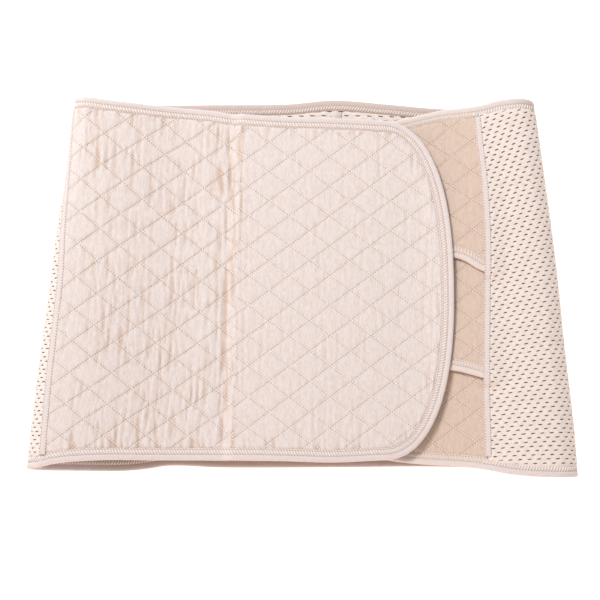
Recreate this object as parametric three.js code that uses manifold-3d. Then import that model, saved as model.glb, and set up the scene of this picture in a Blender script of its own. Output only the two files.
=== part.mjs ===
// A postpartum abdominal binder, closed and lying flat: a spacer-mesh body that runs round both
// folds and the back, three quilted straps sewn to its right end, and a quilted flap over them.
// Millimetres. +X is to the right, +Y towards the waist edge, +Z up from the surface it lies on.
import * as THREE from 'three';
import { mergeVertices } from 'three/addons/utils/BufferGeometryUtils.js';
import Module from 'manifold-3d';

const wasm = await Module();
wasm.setup();

// Driving dimensions of the cloths
const WALL = 3;             // spacer mesh, inner face to outer face
const QUILT_LOW = 2.1;      // quilted cotton on a stitch line
const QUILT_HIGH = 3.2;     // quilted cotton in the middle of a diamond
const STRAP_LOW = 1.7;
const STRAP_HIGH = 2.5;
const BINDING_WIDTH = 9.8;  // the folded knit tape, edge to coverstitch
const EDGE_IN_BINDING = 1.5;
const CHAMFER = 0.9;        // of a binding's outer corners
const SLOT = 1.1;           // from a binding's outer edge to the slot for the cloth
const GAP = 0.4;            // clear space between pieces that touch
const TAPE_WIDTH = 4.8;
const TAPE_THICK = 0.9;
const TOLERANCE = 0.42;     // how far a facet may lie off the curved cloth

// Underside of each binding, and how thick each of its two layers of tape is
const PANEL_TAPE = { bottom: -0.2, layer: 0.65 };
const STRAP_TAPE = { bottom: -0.1, layer: 0.55 };
const FLAP_TAPE = { bottom: -0.1, layer: 0.7 };
// Heights between which each cloth is pressed inside its binding
const PANEL_PRESSED = { low: 0.9, high: 1.9 };
const STRAP_PRESSED = { low: 0.8, high: 1.6 };
const FLAP_PRESSED = { low: 1.1, high: 1.9 };

// Heights of the front above the back
const MID_HEIGHT = 11.5;    // inner face of the front wall, between the folds
const OVERLAP_LIFT = 3.9;   // a strap's lower edge, which rides over the next strap
const OVERLAP = 18;         // how far a strap reaches under the strap above it
const FLAP_LIFT = 6.9;      // the flap over the straps
const FLAP_LIFT_LEFT = 1.2; // the flap where no strap lies under it
const SLOPE_LEFT_END = -84; // where the front's slopes from the folds reach the middle height
const SLOPE_RIGHT_END = 80;
const STEP = { x: -54, width: 12.5 }; // the flap drops here, left of the strap ends

// The point of the measured outline that stands over the origin
const ORIGIN = { x: -0.16, y: 3.42 };

// The flattened loop from above, a row for each height on the body, hip first:
// x of both folds, their outer radius, how far past the crest the left seam lies (degrees),
// and x of the right seam
const LOOP = [
  { y: -155, left: -222.6, right: 221.7, radius: 18.5, seamTurn: 12, rightSeam: 149.0 },
  { y: -115, left: -219.2, right: 219.5, radius: 18.2, seamTurn: 15, rightSeam: 148.6 },
  { y: -75, left: -215.6, right: 215.9, radius: 17.9, seamTurn: 18, rightSeam: 148.2 },
  { y: -35, left: -211.3, right: 212.5, radius: 17.5, seamTurn: 20, rightSeam: 149.3 },
  { y: 5, left: -206.9, right: 209.6, radius: 17.1, seamTurn: 23, rightSeam: 150.4 },
  { y: 45, left: -203.0, right: 205.8, radius: 16.8, seamTurn: 33, rightSeam: 151.0 },
  { y: 85, left: -197.4, right: 201.5, radius: 16.5, seamTurn: 48, rightSeam: 149.4 },
  { y: 125, left: -192.8, right: 197.1, radius: 16.2, seamTurn: 65, rightSeam: 145.9 },
  { y: 165, left: -189.4, right: 192.2, radius: 16.0, seamTurn: 82, rightSeam: 143.0 },
];

// Waist edge of the mesh panel, by the x it has on the back, and its hip edge
const BACK_TOP = [
  { x: -175, y: 159.2 }, { x: -135, y: 157.9 }, { x: -71, y: 158.7 }, { x: -12, y: 159.3 },
  { x: 26, y: 162.7 }, { x: 66, y: 159.7 }, { x: 113, y: 155.3 }, { x: 145, y: 154.6 },
  { x: 178, y: 156.0 },
];
const BACK_BOTTOM = [
  { x: -203, y: -148.6 }, { x: -148, y: -149.0 }, { x: -128, y: -147.4 }, { x: -107, y: -144.6 },
  { x: -65, y: -146.1 }, { x: 30, y: -145.9 }, { x: 109, y: -145.4 }, { x: 160, y: -147.6 },
  { x: 203, y: -153.2 },
];
// The same two edges from the right seam to the right fold, by the x they have on the front
const RIGHT_TOP = [
  { x: 125, y: 150.0 }, { x: 145, y: 151.3 }, { x: 163, y: 154.9 }, { x: 178, y: 156.3 },
];
const RIGHT_BOTTOM = [
  { x: 140, y: -148.0 }, { x: 152, y: -150.2 }, { x: 167, y: -153.2 }, { x: 185, y: -155.1 },
  { x: 203, y: -155.8 },
];
const LEFT_EDGE = { top: 157.5, bottom: -148.0 };      // at the left seam
const FOLD_EDGE = { leftTop: 158.2, leftBottom: -148.4, rightTop: 156.5, rightBottom: -154.9 };
const RIGHT_CREST = { top: 156.3, bottom: -155.8 };
const WAIST_ENDS = { left: -175, right: 178 };         // where the back runs into the folds
const HIP_ENDS = { left: -203, right: 203 };
const EDGE_HEIGHT = 153;                               // of both edges, about

// Waist edge and hip edge of the flap, left to right as far as its rounded end
const FLAP_EDGE = [
  { x: -212, top: 157.9, bottom: -148.6 }, { x: -197, top: 157.6, bottom: -145.0 },
  { x: -180, top: 156.1, bottom: -143.0 }, { x: -157, top: 154.0, bottom: -141.8 },
  { x: -118, top: 152.6, bottom: -141.3 }, { x: -81, top: 150.6, bottom: -141.1 },
  { x: -50, top: 146.0, bottom: -141.4 }, { x: -17, top: 143.5, bottom: -142.0 },
  { x: 25, top: 142.3, bottom: -143.1 }, { x: 63, top: 140.4, bottom: -141.4 },
];
const FLAP_END = { length: 60.5, power: 2.4 };

// Edges of the straps, left to right, where the flap hides them and up to the right seam
const STRAP_EDGE = [
  { x: -60, top: 138.0, upperLow: 25.0, middleLow: -67.0, bottom: -139.0 },
  { x: 60, top: 138.5, upperLow: 25.0, middleLow: -67.0, bottom: -140.0 },
  { x: 80, top: 142.2, upperLow: 25.2, middleLow: -67.3, bottom: -142.6 },
  { x: 100, top: 146.7, upperLow: 25.4, middleLow: -67.8, bottom: -144.6 },
  { x: 117, top: 149.4, upperLow: 24.8, middleLow: -68.4, bottom: -145.8 },
  { x: 131, top: 150.1, upperLow: 21.2, middleLow: -71.2, bottom: -147.0 },
  { x: 143, top: 151.0, upperLow: 13.4, middleLow: -75.0, bottom: -148.5 },
  { x: 152, top: 152.4, upperLow: 9.2, middleLow: -78.0, bottom: -150.2 },
];
const STRAP_CORNER = 20;
const STRAP_END = STEP.x + 2;  // hidden ends of the straps
const STRAP_VISIBLE = 80;      // from here to the right seam their edges curve
const STRAP_PAST_SEAM = 158;

// Boxes of quilting that the pieces are cut from; the straps' reach past their edges
const FLAP_BOX = { x0: -222, x1: 130, y0: -160, y1: 165 };
const STRAP_BOX = { x0: -60, x1: 156, below: 12, above: 14, at: 152 };
const QUILT_BASE = -4;
const CUT = { bottom: -6, top: 9 };

// Diamond quilting: width and height of a diamond, and one crossing of its stitch lines
const DIAMOND = { width: 33.3, height: 24.9, x: 6.5, y: -3.1 };
const DIAMOND_LEFT = { width: 33.0, height: 26.3, x: -165.8, y: -7.4 };

function mix(a, b, t) {
  return a + (b - a) * t;
}

function smooth(t) {
  const c = Math.min(1, Math.max(0, t));
  return c * c * (3 - 2 * c);
}

// Reads a column of a table at any place, on a smooth curve through its rows
function read(table, key, column, at) {
  const last = table.length - 1;
  let i = 0;
  while (i < last - 1 && at > table[i + 1][key]) i += 1;
  const slope = (k) => {
    const a = table[Math.max(0, k - 1)];
    const b = table[Math.min(last, k + 1)];
    return (b[column] - a[column]) / (b[key] - a[key]);
  };
  const [p, q] = [table[i], table[i + 1]];
  const span = q[key] - p[key];
  const t = (at - p[key]) / span;
  if (t < 0) return p[column] + slope(i) * span * t;
  if (t > 1) return q[column] + slope(i + 1) * span * (t - 1);
  const t2 = t * t;
  const t3 = t2 * t;
  return p[column] * (2 * t3 - 3 * t2 + 1) + slope(i) * span * (t3 - 2 * t2 + t)
    + q[column] * (3 * t2 - 2 * t3) + slope(i + 1) * span * (t3 - t2);
}

const loop = (column, y) => read(LOOP, 'y', column, y);
const crestLeft = (y) => loop('left', y) + loop('radius', y);
const crestRight = (y) => loop('right', y) - loop('radius', y);

// Where the left seam lies when the front is rolled out flat
function leftSeam(y) {
  const turn = THREE.MathUtils.degToRad(loop('seamTurn', y));
  return crestLeft(y) - turn * (loop('radius', y) - WALL / 2);
}

// Inner face of the front wall: high at the folds, low in the middle
function frontHeight(x, y) {
  const crest = 2 * loop('radius', y) - WALL;
  if (x > 0) {
    const start = crestRight(y);
    return mix(crest, MID_HEIGHT, smooth((start - x) / (start - SLOPE_RIGHT_END)));
  }
  const start = crestLeft(y);
  return mix(crest, MID_HEIGHT, smooth((x - start) / (SLOPE_LEFT_END - start)));
}

const at = (x, y, z) => new THREE.Vector3(x - ORIGIN.x, y - ORIGIN.y, z);

// A point on a fold: turn is 0 on the crest and half a turn where the back starts
function onFold(side, turn, y, h) {
  const radius = loop('radius', y);
  const middle = side < 0 ? crestLeft(y) : crestRight(y);
  const reach = radius - WALL + h;
  return at(middle + side * reach * Math.sin(turn), y, radius + reach * Math.cos(turn));
}

// A point on the front, h above the wall's inner face; past the crest it follows the left fold
function onFront(x, y, h) {
  const past = crestLeft(y) - x;
  if (past > 0) return onFold(-1, past / (loop('radius', y) - WALL / 2), y, h);
  return at(x, y, frontHeight(x, y) + h);
}

// A point on the mesh panel. Its stations are 0 right seam, 1 right crest, 2 right fold,
// 3 and 4 the ends of the back, 5 left fold, 6 left seam
function onPanel(station, y, h) {
  if (station < 1) return onFront(mix(loop('rightSeam', y), crestRight(y), station), y, h);
  if (station < 3) return onFold(1, (station - 1) * Math.PI / 2, y, h);
  if (station < 4) return at(mix(crestRight(y), crestLeft(y), station - 3), y, WALL - h);
  const seamTurn = THREE.MathUtils.degToRad(loop('seamTurn', y));
  if (station < 5) return onFold(-1, mix(Math.PI, Math.PI / 2, station - 4), y, h);
  return onFold(-1, mix(Math.PI / 2, seamTurn, station - 5), y, h);
}

// A strap lies like a shingle, its low edge on the next strap and its high edge on the wall
function shingleLift({ low, high, rides }, x, y) {
  return rides ? OVERLAP_LIFT * (high(x) - y) / (high(x) - low(x)) : 0;
}

function flapLift(x, y) {
  const left = mix(0, FLAP_LIFT_LEFT, smooth((x - crestLeft(y)) / 60));
  return mix(left, FLAP_LIFT, Math.min(1, Math.max(0, 1 + (x - STEP.x) / STEP.width)));
}

// Closed meshes are kept flat as { points, faces } until they are laid on the curved cloth
function volume({ points, faces }) {
  let sum = 0;
  for (const [a, b, c] of faces) sum += points[a].dot(points[b].clone().cross(points[c]));
  return sum;
}

function facingOut(mesh) {
  if (volume(mesh) > 0) return mesh;
  return { points: mesh.points, faces: mesh.faces.map(([a, b, c]) => [a, c, b]) };
}

// Skins rings of points, each with the same count, and closes both ends
function skin(rings, cap) {
  const count = rings[0].length;
  const faces = [];
  for (let r = 0; r + 1 < rings.length; r += 1) {
    for (let k = 0; k < count; k += 1) {
      const a = r * count + k;
      const b = r * count + (k + 1) % count;
      faces.push([a, b, b + count], [a, b + count, a + count]);
    }
  }
  const end = (rings.length - 1) * count;
  for (const [a, b, c] of cap) faces.push([a, c, b], [end + a, end + b, end + c]);
  return facingOut({ points: rings.flat(), faces });
}

// Triangles that fill an outline, wound the same way as the outline
function fill(outline) {
  const faces = THREE.ShapeUtils.triangulateShape(outline, []);
  return THREE.ShapeUtils.isClockWise(outline) ? faces.map(([a, b, c]) => [a, c, b]) : faces;
}

// Sweeps a section of [inward, height] points along a flat path
function sweep(path, section) {
  const cap = fill(section.map(([inward, height]) => new THREE.Vector2(inward, height)));
  const ring = (p) => section.map(([inward, height]) => new THREE.Vector3(
    p.x + p.inX * inward, p.y + p.inY * inward, height));
  return skin(path.map(ring), cap);
}

// A slab between two edges that are given as equal lists of points
function slab(low, high, bottom, top) {
  const ring = (p, k) => [
    new THREE.Vector3(p.x, p.y, bottom), new THREE.Vector3(high[k].x, high[k].y, bottom),
    new THREE.Vector3(high[k].x, high[k].y, top), new THREE.Vector3(p.x, p.y, top),
  ];
  return skin(low.map(ring), [[0, 1, 2], [0, 2, 3]]);
}

// A sheet of quilting that covers a box, low on its stitch lines and high between them
function quilting(diamond, box, low, high) {
  const [halfWidth, halfHeight] = [diamond.width / 2, diamond.height / 2];
  const i0 = Math.floor((box.x0 - diamond.x) / halfWidth);
  const i1 = Math.ceil((box.x1 - diamond.x) / halfWidth);
  const j0 = Math.floor((box.y0 - diamond.y) / halfHeight);
  const j1 = Math.ceil((box.y1 - diamond.y) / halfHeight);
  const columns = i1 - i0 + 1;
  const rows = j1 - j0 + 1;
  const points = [];
  for (const level of ['top', 'bottom']) {
    for (let j = j0; j <= j1; j += 1) {
      for (let i = i0; i <= i1; i += 1) {
        const crossing = (i + j) % 2 === 0;
        const height = crossing ? low : high;
        const z = level === 'top' ? height : QUILT_BASE;
        points.push(new THREE.Vector3(diamond.x + i * halfWidth, diamond.y + j * halfHeight, z));
      }
    }
  }
  const faces = [];
  const under = rows * columns;
  for (let r = 0; r + 1 < rows; r += 1) {
    for (let c = 0; c + 1 < columns; c += 1) {
      const a = r * columns + c;
      const [b, d, e] = [a + 1, a + columns, a + columns + 1];
      const stitchUp = (i0 + c + j0 + r) % 2 === 0;
      const top = stitchUp ? [[a, b, e], [a, e, d]] : [[a, b, d], [b, e, d]];
      faces.push(...top, ...top.map(([p, q, s]) => [under + p, under + s, under + q]));
    }
  }
  const wall = (a, b) => faces.push([a, a + under, b + under], [a, b + under, b]);
  for (let c = 0; c + 1 < columns; c += 1) {
    wall(c, c + 1);
    wall(under - columns + c + 1, under - columns + c);
  }
  for (let r = 0; r + 1 < rows; r += 1) {
    wall((r + 1) * columns, r * columns);
    wall(r * columns + columns - 1, (r + 2) * columns - 1);
  }
  return facingOut({ points, faces });
}

function toSolid({ points, faces }) {
  return new wasm.Manifold(new wasm.Mesh({
    numProp: 3,
    vertProperties: new Float32Array(points.flatMap((p) => [p.x, p.y, p.z])),
    triVerts: new Uint32Array(faces.flat()),
  }));
}

function fromSolid(solid) {
  const { vertProperties, triVerts, numProp } = solid.getMesh();
  const points = [];
  for (let i = 0; i < vertProperties.length; i += numProp) {
    points.push(new THREE.Vector3().fromArray(vertProperties, i));
  }
  const faces = [];
  for (let i = 0; i < triVerts.length; i += 3) faces.push([...triVerts.slice(i, i + 3)]);
  return { points, faces };
}

// True if a flat edge, laid on the curve, would leave the curved cloth
function leavesCloth(p, q, lay) {
  if (p.distanceTo(q) < 1e-3) return false;
  const [a, b] = [lay(p), lay(q)];
  return [0.25, 0.5, 0.75].some((t) => {
    const onCloth = lay(p.clone().lerp(q, t));
    return onCloth.distanceTo(a.clone().lerp(b, t)) > TOLERANCE;
  });
}

// Halves the edges that leave the cloth, until none does
function refine({ points, faces }, lay) {
  const all = [...points];
  let list = faces;
  for (let pass = 0; pass < 6; pass += 1) {
    const middles = new Map();
    const middle = (a, b) => {
      const key = a < b ? `${a} ${b}` : `${b} ${a}`;
      if (!middles.has(key)) {
        const split = leavesCloth(all[a], all[b], lay);
        if (split) all.push(all[a].clone().lerp(all[b], 0.5));
        middles.set(key, split ? all.length - 1 : -1);
      }
      return middles.get(key);
    };
    list = list.flatMap((face) => halve(face, middle));
    if ([...middles.values()].every((index) => index < 0)) break;
  }
  return { points: all, faces: list };
}

// Cuts one triangle at the middles its edges have
function halve([a, b, c], middle) {
  const [ab, bc, ca] = [middle(a, b), middle(b, c), middle(c, a)];
  const cuts = [ab, bc, ca].filter((index) => index >= 0).length;
  if (cuts === 0) return [[a, b, c]];
  if (cuts === 3) return [[a, ab, ca], [ab, b, bc], [ca, bc, c], [ab, bc, ca]];
  if (cuts === 1) {
    if (ab >= 0) return [[a, ab, c], [ab, b, c]];
    if (bc >= 0) return [[b, bc, a], [bc, c, a]];
    return [[c, ca, b], [ca, a, b]];
  }
  if (ab < 0) return [[bc, c, ca], [a, b, bc], [a, bc, ca]];
  if (bc < 0) return [[ca, a, ab], [b, c, ca], [b, ca, ab]];
  return [[ab, b, bc], [c, a, ab], [c, ab, bc]];
}

const binder = new THREE.Group();

// Lays a flat mesh on the cloth and adds it as a named piece
function addPiece(name, material, mesh, place) {
  const lay = (p) => place(p.x, p.y, p.z);
  const { points, faces } = refine(mesh, lay);
  const geometry = new THREE.BufferGeometry().setFromPoints(points.map(lay));
  geometry.setIndex(faces.flat());
  const piece = new THREE.Mesh(mergeVertices(geometry, 1e-4), material);
  piece.geometry.computeVertexNormals();
  piece.name = name;
  binder.add(piece);
}

function cloth(color, roughness) {
  return new THREE.MeshStandardMaterial({ color, roughness, metalness: 0 });
}
const QUILTED_COTTON = cloth('#e9dcd3', 0.95);
const KNIT_TAPE = cloth('#e8dad6', 0.9);
const SPACER_MESH = cloth('#efe9e4', 0.85);
const HOOK_TAPE = cloth('#dccfc6', 0.8);

// A folded tape with a slot for the cloth: its two sides lie at the heights bottom and top
function bindingSection({ bottom, layer }, top) {
  return [
    [BINDING_WIDTH, bottom], [CHAMFER, bottom], [0, bottom + CHAMFER], [0, top - CHAMFER],
    [CHAMFER, top], [BINDING_WIDTH, top], [BINDING_WIDTH, top - layer], [SLOT, top - layer],
    [SLOT, bottom + layer], [BINDING_WIDTH, bottom + layer],
  ];
}

// Directions into the cloth, square to a path that has the cloth on its left
function withInward(points) {
  return points.map((p, k) => {
    const before = points[Math.max(0, k - 1)];
    const after = points[Math.min(points.length - 1, k + 1)];
    const length = Math.hypot(after.x - before.x, after.y - before.y);
    return { ...p, inX: -(after.y - before.y) / length, inY: (after.x - before.x) / length };
  });
}

const inset = (path, depth) => path.map((p) => ({
  x: p.x + p.inX * depth, y: p.y + p.inY * depth,
}));

function steps(from, to, size) {
  const count = Math.ceil(Math.abs(to - from) / size);
  return Array.from({ length: count + 1 }, (_, k) => mix(from, to, k / count));
}

// Mesh panel, its bindings and the bone channel

const waistY = (x) => read(BACK_TOP, 'x', 'y', x);
const hipY = (x) => read(BACK_BOTTOM, 'x', 'y', x);

// Height of the panel's two edges at a station
function panelEdge(station, side) {
  const top = side === 'top';
  if (station < 1) {
    const table = top ? RIGHT_TOP : RIGHT_BOTTOM;
    const y = top ? EDGE_HEIGHT : -EDGE_HEIGHT;
    return read(table, 'x', 'y', mix(loop('rightSeam', y), crestRight(y), station));
  }
  const right = top ? [RIGHT_CREST.top, FOLD_EDGE.rightTop, waistY(WAIST_ENDS.right)]
    : [RIGHT_CREST.bottom, FOLD_EDGE.rightBottom, hipY(HIP_ENDS.right)];
  if (station < 3) {
    const t = station - 1;
    return t < 1 ? mix(right[0], right[1], t) : mix(right[1], right[2], t - 1);
  }
  if (station < 4) {
    return top ? waistY(mix(WAIST_ENDS.right, WAIST_ENDS.left, station - 3))
      : hipY(mix(HIP_ENDS.right, HIP_ENDS.left, station - 3));
  }
  const left = top ? [waistY(WAIST_ENDS.left), FOLD_EDGE.leftTop, LEFT_EDGE.top]
    : [hipY(HIP_ENDS.left), FOLD_EDGE.leftBottom, LEFT_EDGE.bottom];
  const t = station - 4;
  return t < 1 ? mix(left[0], left[1], t) : mix(left[1], left[2], t - 1);
}

const PANEL_STATIONS = [
  ...steps(0, 1, 1 / 3), ...steps(1, 3, 1 / 5).slice(1), ...steps(3, 4, 1 / 12).slice(1),
  ...steps(4, 6, 1 / 5).slice(1),
];
const PANEL_SEAM_GAP = 0.02; // in stations

// Two rows of points round the panel's section at each station, thin inside both bindings
function meshPanel() {
  const rings = PANEL_STATIONS.map((s) => {
    const station = Math.min(6 - PANEL_SEAM_GAP, Math.max(PANEL_SEAM_GAP, s));
    const [top, bottom] = [panelEdge(station, 'top'), panelEdge(station, 'bottom')];
    const thinTop = top - BINDING_WIDTH - GAP;
    const thinBottom = bottom + BINDING_WIDTH + GAP;
    const rows = [1, 2].map((k) => mix(thinBottom, thinTop, k / 3));
    const { low, high } = PANEL_PRESSED;
    const outer = [[thinBottom, WALL], ...rows.map((y) => [y, WALL]), [thinTop, WALL],
      [thinTop, high], [top - EDGE_IN_BINDING, high]];
    const inner = [[top - EDGE_IN_BINDING, low], [thinTop, low], [thinTop, 0],
      ...rows.reverse().map((y) => [y, 0]), [thinBottom, 0], [thinBottom, low]];
    const hip = [[bottom + EDGE_IN_BINDING, low], [bottom + EDGE_IN_BINDING, high],
      [thinBottom, high]];
    return [...outer, ...inner, ...hip].map(([y, h]) => ({ station, y, h }));
  });
  const cap = fill(rings[0].map(({ y, h }) => new THREE.Vector2(y, h)));
  return skin(rings.map((ring) => ring.map((p) => new THREE.Vector3(p.station, p.y, p.h))), cap);
}

// The bindings bend in shorter facets at the folds than the mesh does
const BINDING_ENDS = { right: 0.012, left: 5.985 };
const BINDING_STATIONS = [
  BINDING_ENDS.right, ...steps(0, 1, 1 / 3).slice(1), ...steps(1, 3, 1 / 7).slice(1),
  ...steps(3, 4, 1 / 12).slice(1), ...steps(4, 6, 1 / 6).slice(1, -1), BINDING_ENDS.left,
];

function panelBinding(side) {
  const inY = side === 'top' ? -1 : 1;
  const path = BINDING_STATIONS.map((s) => ({ x: s, y: panelEdge(s, side), inX: 0, inY }));
  return sweep(path, bindingSection(PANEL_TAPE, WALL));
}

// A pressed tape with a bone in it; its lips are thin and its middle is thick
const CHANNEL = { x: 27.75, halfWidth: 5.1, thick: 1.5, lip: 0.5, edge: 1.6, gap: 0.3 };

function boneChannel() {
  const { x, halfWidth, thick, lip, edge, gap } = CHANNEL;
  const base = WALL + gap;
  const y0 = hipY(x) + BINDING_WIDTH + GAP;
  const y1 = waistY(x) - BINDING_WIDTH - GAP;
  const path = [y0, y1].map((y) => ({ x, y, inX: 1, inY: 0 }));
  return sweep(path, [
    [-halfWidth, base], [halfWidth, base], [halfWidth, base + lip],
    [halfWidth - edge, base + thick], [edge - halfWidth, base + thick], [-halfWidth, base + lip],
  ]);
}

// Quilted pieces: quilting cut to its outline, with a thin edge that its binding holds

// Everything between the two seams, to trim a piece's sewn end
function betweenSeams() {
  const rows = steps(-185, 185, 12);
  const left = rows.map((y) => ({ x: leftSeam(y) + GAP, y }));
  const right = rows.map((y) => ({ x: loop('rightSeam', y) - GAP, y }));
  return toSolid(slab(left, right, CUT.bottom, CUT.top));
}
const BETWEEN_SEAMS = betweenSeams();

function quilted(edges, sheets, pressed) {
  const depth = BINDING_WIDTH + GAP;
  const body = sheets.reduce((sum, sheet) => {
    const cut = toSolid(slab(inset(edges.low, depth), inset(edges.high, depth), 0, 8));
    const part = toSolid(sheet).intersect(cut);
    return sum ? sum.add(part) : part;
  }, null);
  const low = inset(edges.low, EDGE_IN_BINDING);
  const high = inset(edges.high, EDGE_IN_BINDING);
  const edge = toSolid(slab(low, high, pressed.low, pressed.high));
  return fromSolid(body.add(edge).intersect(BETWEEN_SEAMS));
}

// The flap's two edges from the left seam to the tip of its rounded end
function flapEdges() {
  const last = FLAP_EDGE[FLAP_EDGE.length - 1];
  const middle = (last.top + last.bottom) / 2;
  const half = (last.top - last.bottom) / 2;
  const straight = steps(-218, last.x, 20).slice(0, -1);
  const angles = steps(90, 6, 8.4);
  const round = (side) => angles.map((degrees) => {
    const angle = THREE.MathUtils.degToRad(degrees);
    const power = 2 / FLAP_END.power;
    return {
      x: last.x + FLAP_END.length * Math.cos(angle) ** power,
      y: middle + side * half * Math.sin(angle) ** power,
    };
  });
  const edge = (column) => straight.map((x) => ({ x, y: read(FLAP_EDGE, 'x', column, x) }));
  const low = withInward([...edge('bottom'), ...round(-1)]);
  const high = withInward([...edge('top'), ...round(1)].reverse()).reverse();
  return { low, high };
}

// A binding folded over a quilted piece's edges, trimmed at the seams
function binding(path, section) {
  return fromSolid(toSolid(sweep(path, section)).intersect(BETWEEN_SEAMS));
}

function flapSheets() {
  const { y0, y1 } = FLAP_BOX;
  const sides = [
    { diamond: DIAMOND_LEFT, x0: FLAP_BOX.x0, x1: STEP.x },
    { diamond: DIAMOND, x0: STEP.x, x1: FLAP_BOX.x1 },
  ];
  return sides.map(({ diamond, x0, x1 }) => {
    const sheet = quilting(diamond, { x0, x1, y0, y1 }, QUILT_LOW, QUILT_HIGH);
    const cut = slab([{ x: x0, y: y0 }, { x: x1, y: y0 }], [{ x: x0, y: y1 }, { x: x1, y: y1 }],
      CUT.bottom, CUT.top);
    return fromSolid(toSolid(sheet).intersect(toSolid(cut)));
  });
}

// A strap's two edges, from the middle of its hidden end round its corners to the right seam
function strapEdges(lowAt, highAt) {
  const [end, corner] = [STRAP_END, STRAP_CORNER];
  const middle = (lowAt(end) + highAt(end)) / 2;
  const side = (edgeAt, sign) => {
    const level = edgeAt(end + corner);
    const turn = [0, 30, 60, 90].map((degrees) => {
      const angle = THREE.MathUtils.degToRad(degrees);
      return {
        x: end + corner * (1 - Math.cos(angle)),
        y: level - sign * corner * (1 - Math.sin(angle)),
      };
    });
    const straight = [...steps(end + corner, STRAP_VISIBLE, 40).slice(1),
      ...steps(STRAP_VISIBLE, STRAP_PAST_SEAM, 9.75).slice(1)];
    return [{ x: end, y: middle }, ...turn, ...straight.map((x) => ({ x, y: edgeAt(x) }))];
  };
  return {
    low: withInward(side(lowAt, -1)),
    high: withInward(side(highAt, 1).reverse()).reverse(),
  };
}

// A tape over a seam, with its ends tucked in at the two bindings
function seamTape(seamX, y0, y1) {
  const half = TAPE_WIDTH / 2;
  const base = QUILT_HIGH + GAP;
  const path = steps(y0, y1, 16).map((y) => ({ x: seamX(y), y, inX: 1, inY: 0 }));
  return sweep(path, [
    [-half, base], [half, base], [half, base + TAPE_THICK], [-half, base + TAPE_THICK],
  ]);
}

// The pieces, from the inside out

addPiece('mesh_panel', SPACER_MESH, meshPanel(), onPanel);
addPiece('back_bone_channel', KNIT_TAPE, boneChannel(), at);
addPiece('panel_top_binding', KNIT_TAPE, panelBinding('top'), onPanel);
addPiece('panel_bottom_binding', KNIT_TAPE, panelBinding('bottom'), onPanel);

const strapEdge = (column, extra = 0) => (x) => read(STRAP_EDGE, 'x', column, x) + extra;
const STRAPS = [
  { name: 'upper_strap', low: strapEdge('upperLow'), high: strapEdge('top'), rides: true },
  { name: 'middle_strap', low: strapEdge('middleLow'), high: strapEdge('upperLow', OVERLAP),
    rides: true },
  { name: 'lower_strap', low: strapEdge('bottom'), high: strapEdge('middleLow', OVERLAP) },
];
for (const strap of STRAPS) {
  const { name, low, high } = strap;
  const edges = strapEdges(low, high);
  const { x0, x1, below, above } = STRAP_BOX;
  const box = { x0, x1, y0: low(STRAP_BOX.at) - below, y1: high(STRAP_BOX.at) + above };
  const sheet = quilting(DIAMOND, box, STRAP_LOW, STRAP_HIGH);
  const onStrap = (x, y, h) => onFront(x, y, h + shingleLift(strap, x, y));
  addPiece(name, QUILTED_COTTON, quilted(edges, [sheet], STRAP_PRESSED), onStrap);
  const section = bindingSection(STRAP_TAPE, STRAP_HIGH);
  const path = [...edges.high].reverse().concat(edges.low.slice(1));
  addPiece(`${name}_binding`, KNIT_TAPE, binding(path, section), onStrap);
}

const FLAP_EDGES = flapEdges();
const onFlap = (x, y, h) => onFront(x, y, h + flapLift(x, y));
addPiece('front_flap', QUILTED_COTTON, quilted(FLAP_EDGES, flapSheets(), FLAP_PRESSED), onFlap);
const FLAP_SECTION = bindingSection(FLAP_TAPE, QUILT_HIGH);
const FLAP_PATH = [...FLAP_EDGES.low, ...[...FLAP_EDGES.high].reverse()];
addPiece('flap_binding', KNIT_TAPE, binding(FLAP_PATH, FLAP_SECTION), onFlap);

// The hook fastener sewn under the flap's end
const PATCH = { x0: 74, x1: 108, y0: -18, y1: 20, bottom: -1.7, top: -0.3 };
const PATCH_STATIONS = steps(PATCH.x0, PATCH.x1, 8);
addPiece('flap_hook_patch', HOOK_TAPE, slab(
  PATCH_STATIONS.map((x) => ({ x, y: PATCH.y0 })), PATCH_STATIONS.map((x) => ({ x, y: PATCH.y1 })),
  PATCH.bottom, PATCH.top), onFlap);

// The right tape humps over the low edge of each strap that rides on the next
const HUMP = { before: 9, rise: 8 };

function tapeHump(x, y) {
  const humps = STRAPS.filter((strap) => strap.rides).map((strap) => {
    const foot = smooth((y - strap.low(x) + HUMP.before) / HUMP.rise);
    return y > strap.high(x) ? 0 : foot * Math.min(OVERLAP_LIFT, shingleLift(strap, x, y));
  });
  return Math.max(...humps);
}
const TAPE_END = BINDING_WIDTH + GAP;
addPiece('right_seam_tape', KNIT_TAPE, seamTape((y) => loop('rightSeam', y),
  panelEdge(0, 'bottom') + TAPE_END, panelEdge(0, 'top') - TAPE_END),
(x, y, h) => onFront(x, y, h + tapeHump(x, y)));
addPiece('left_seam_tape', KNIT_TAPE, seamTape(leftSeam, LEFT_EDGE.bottom + TAPE_END,
  LEFT_EDGE.top - TAPE_END), onFront);

export default binder;
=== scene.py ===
"""A postpartum abdominal binder, closed and lying flat, dressed for a product photograph.

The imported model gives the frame. Each cloth is built on the same curved wrap as its solid:
flat places on the cloth are in millimetres, and place functions lay them round the body's loop.
"""

import math

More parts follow.
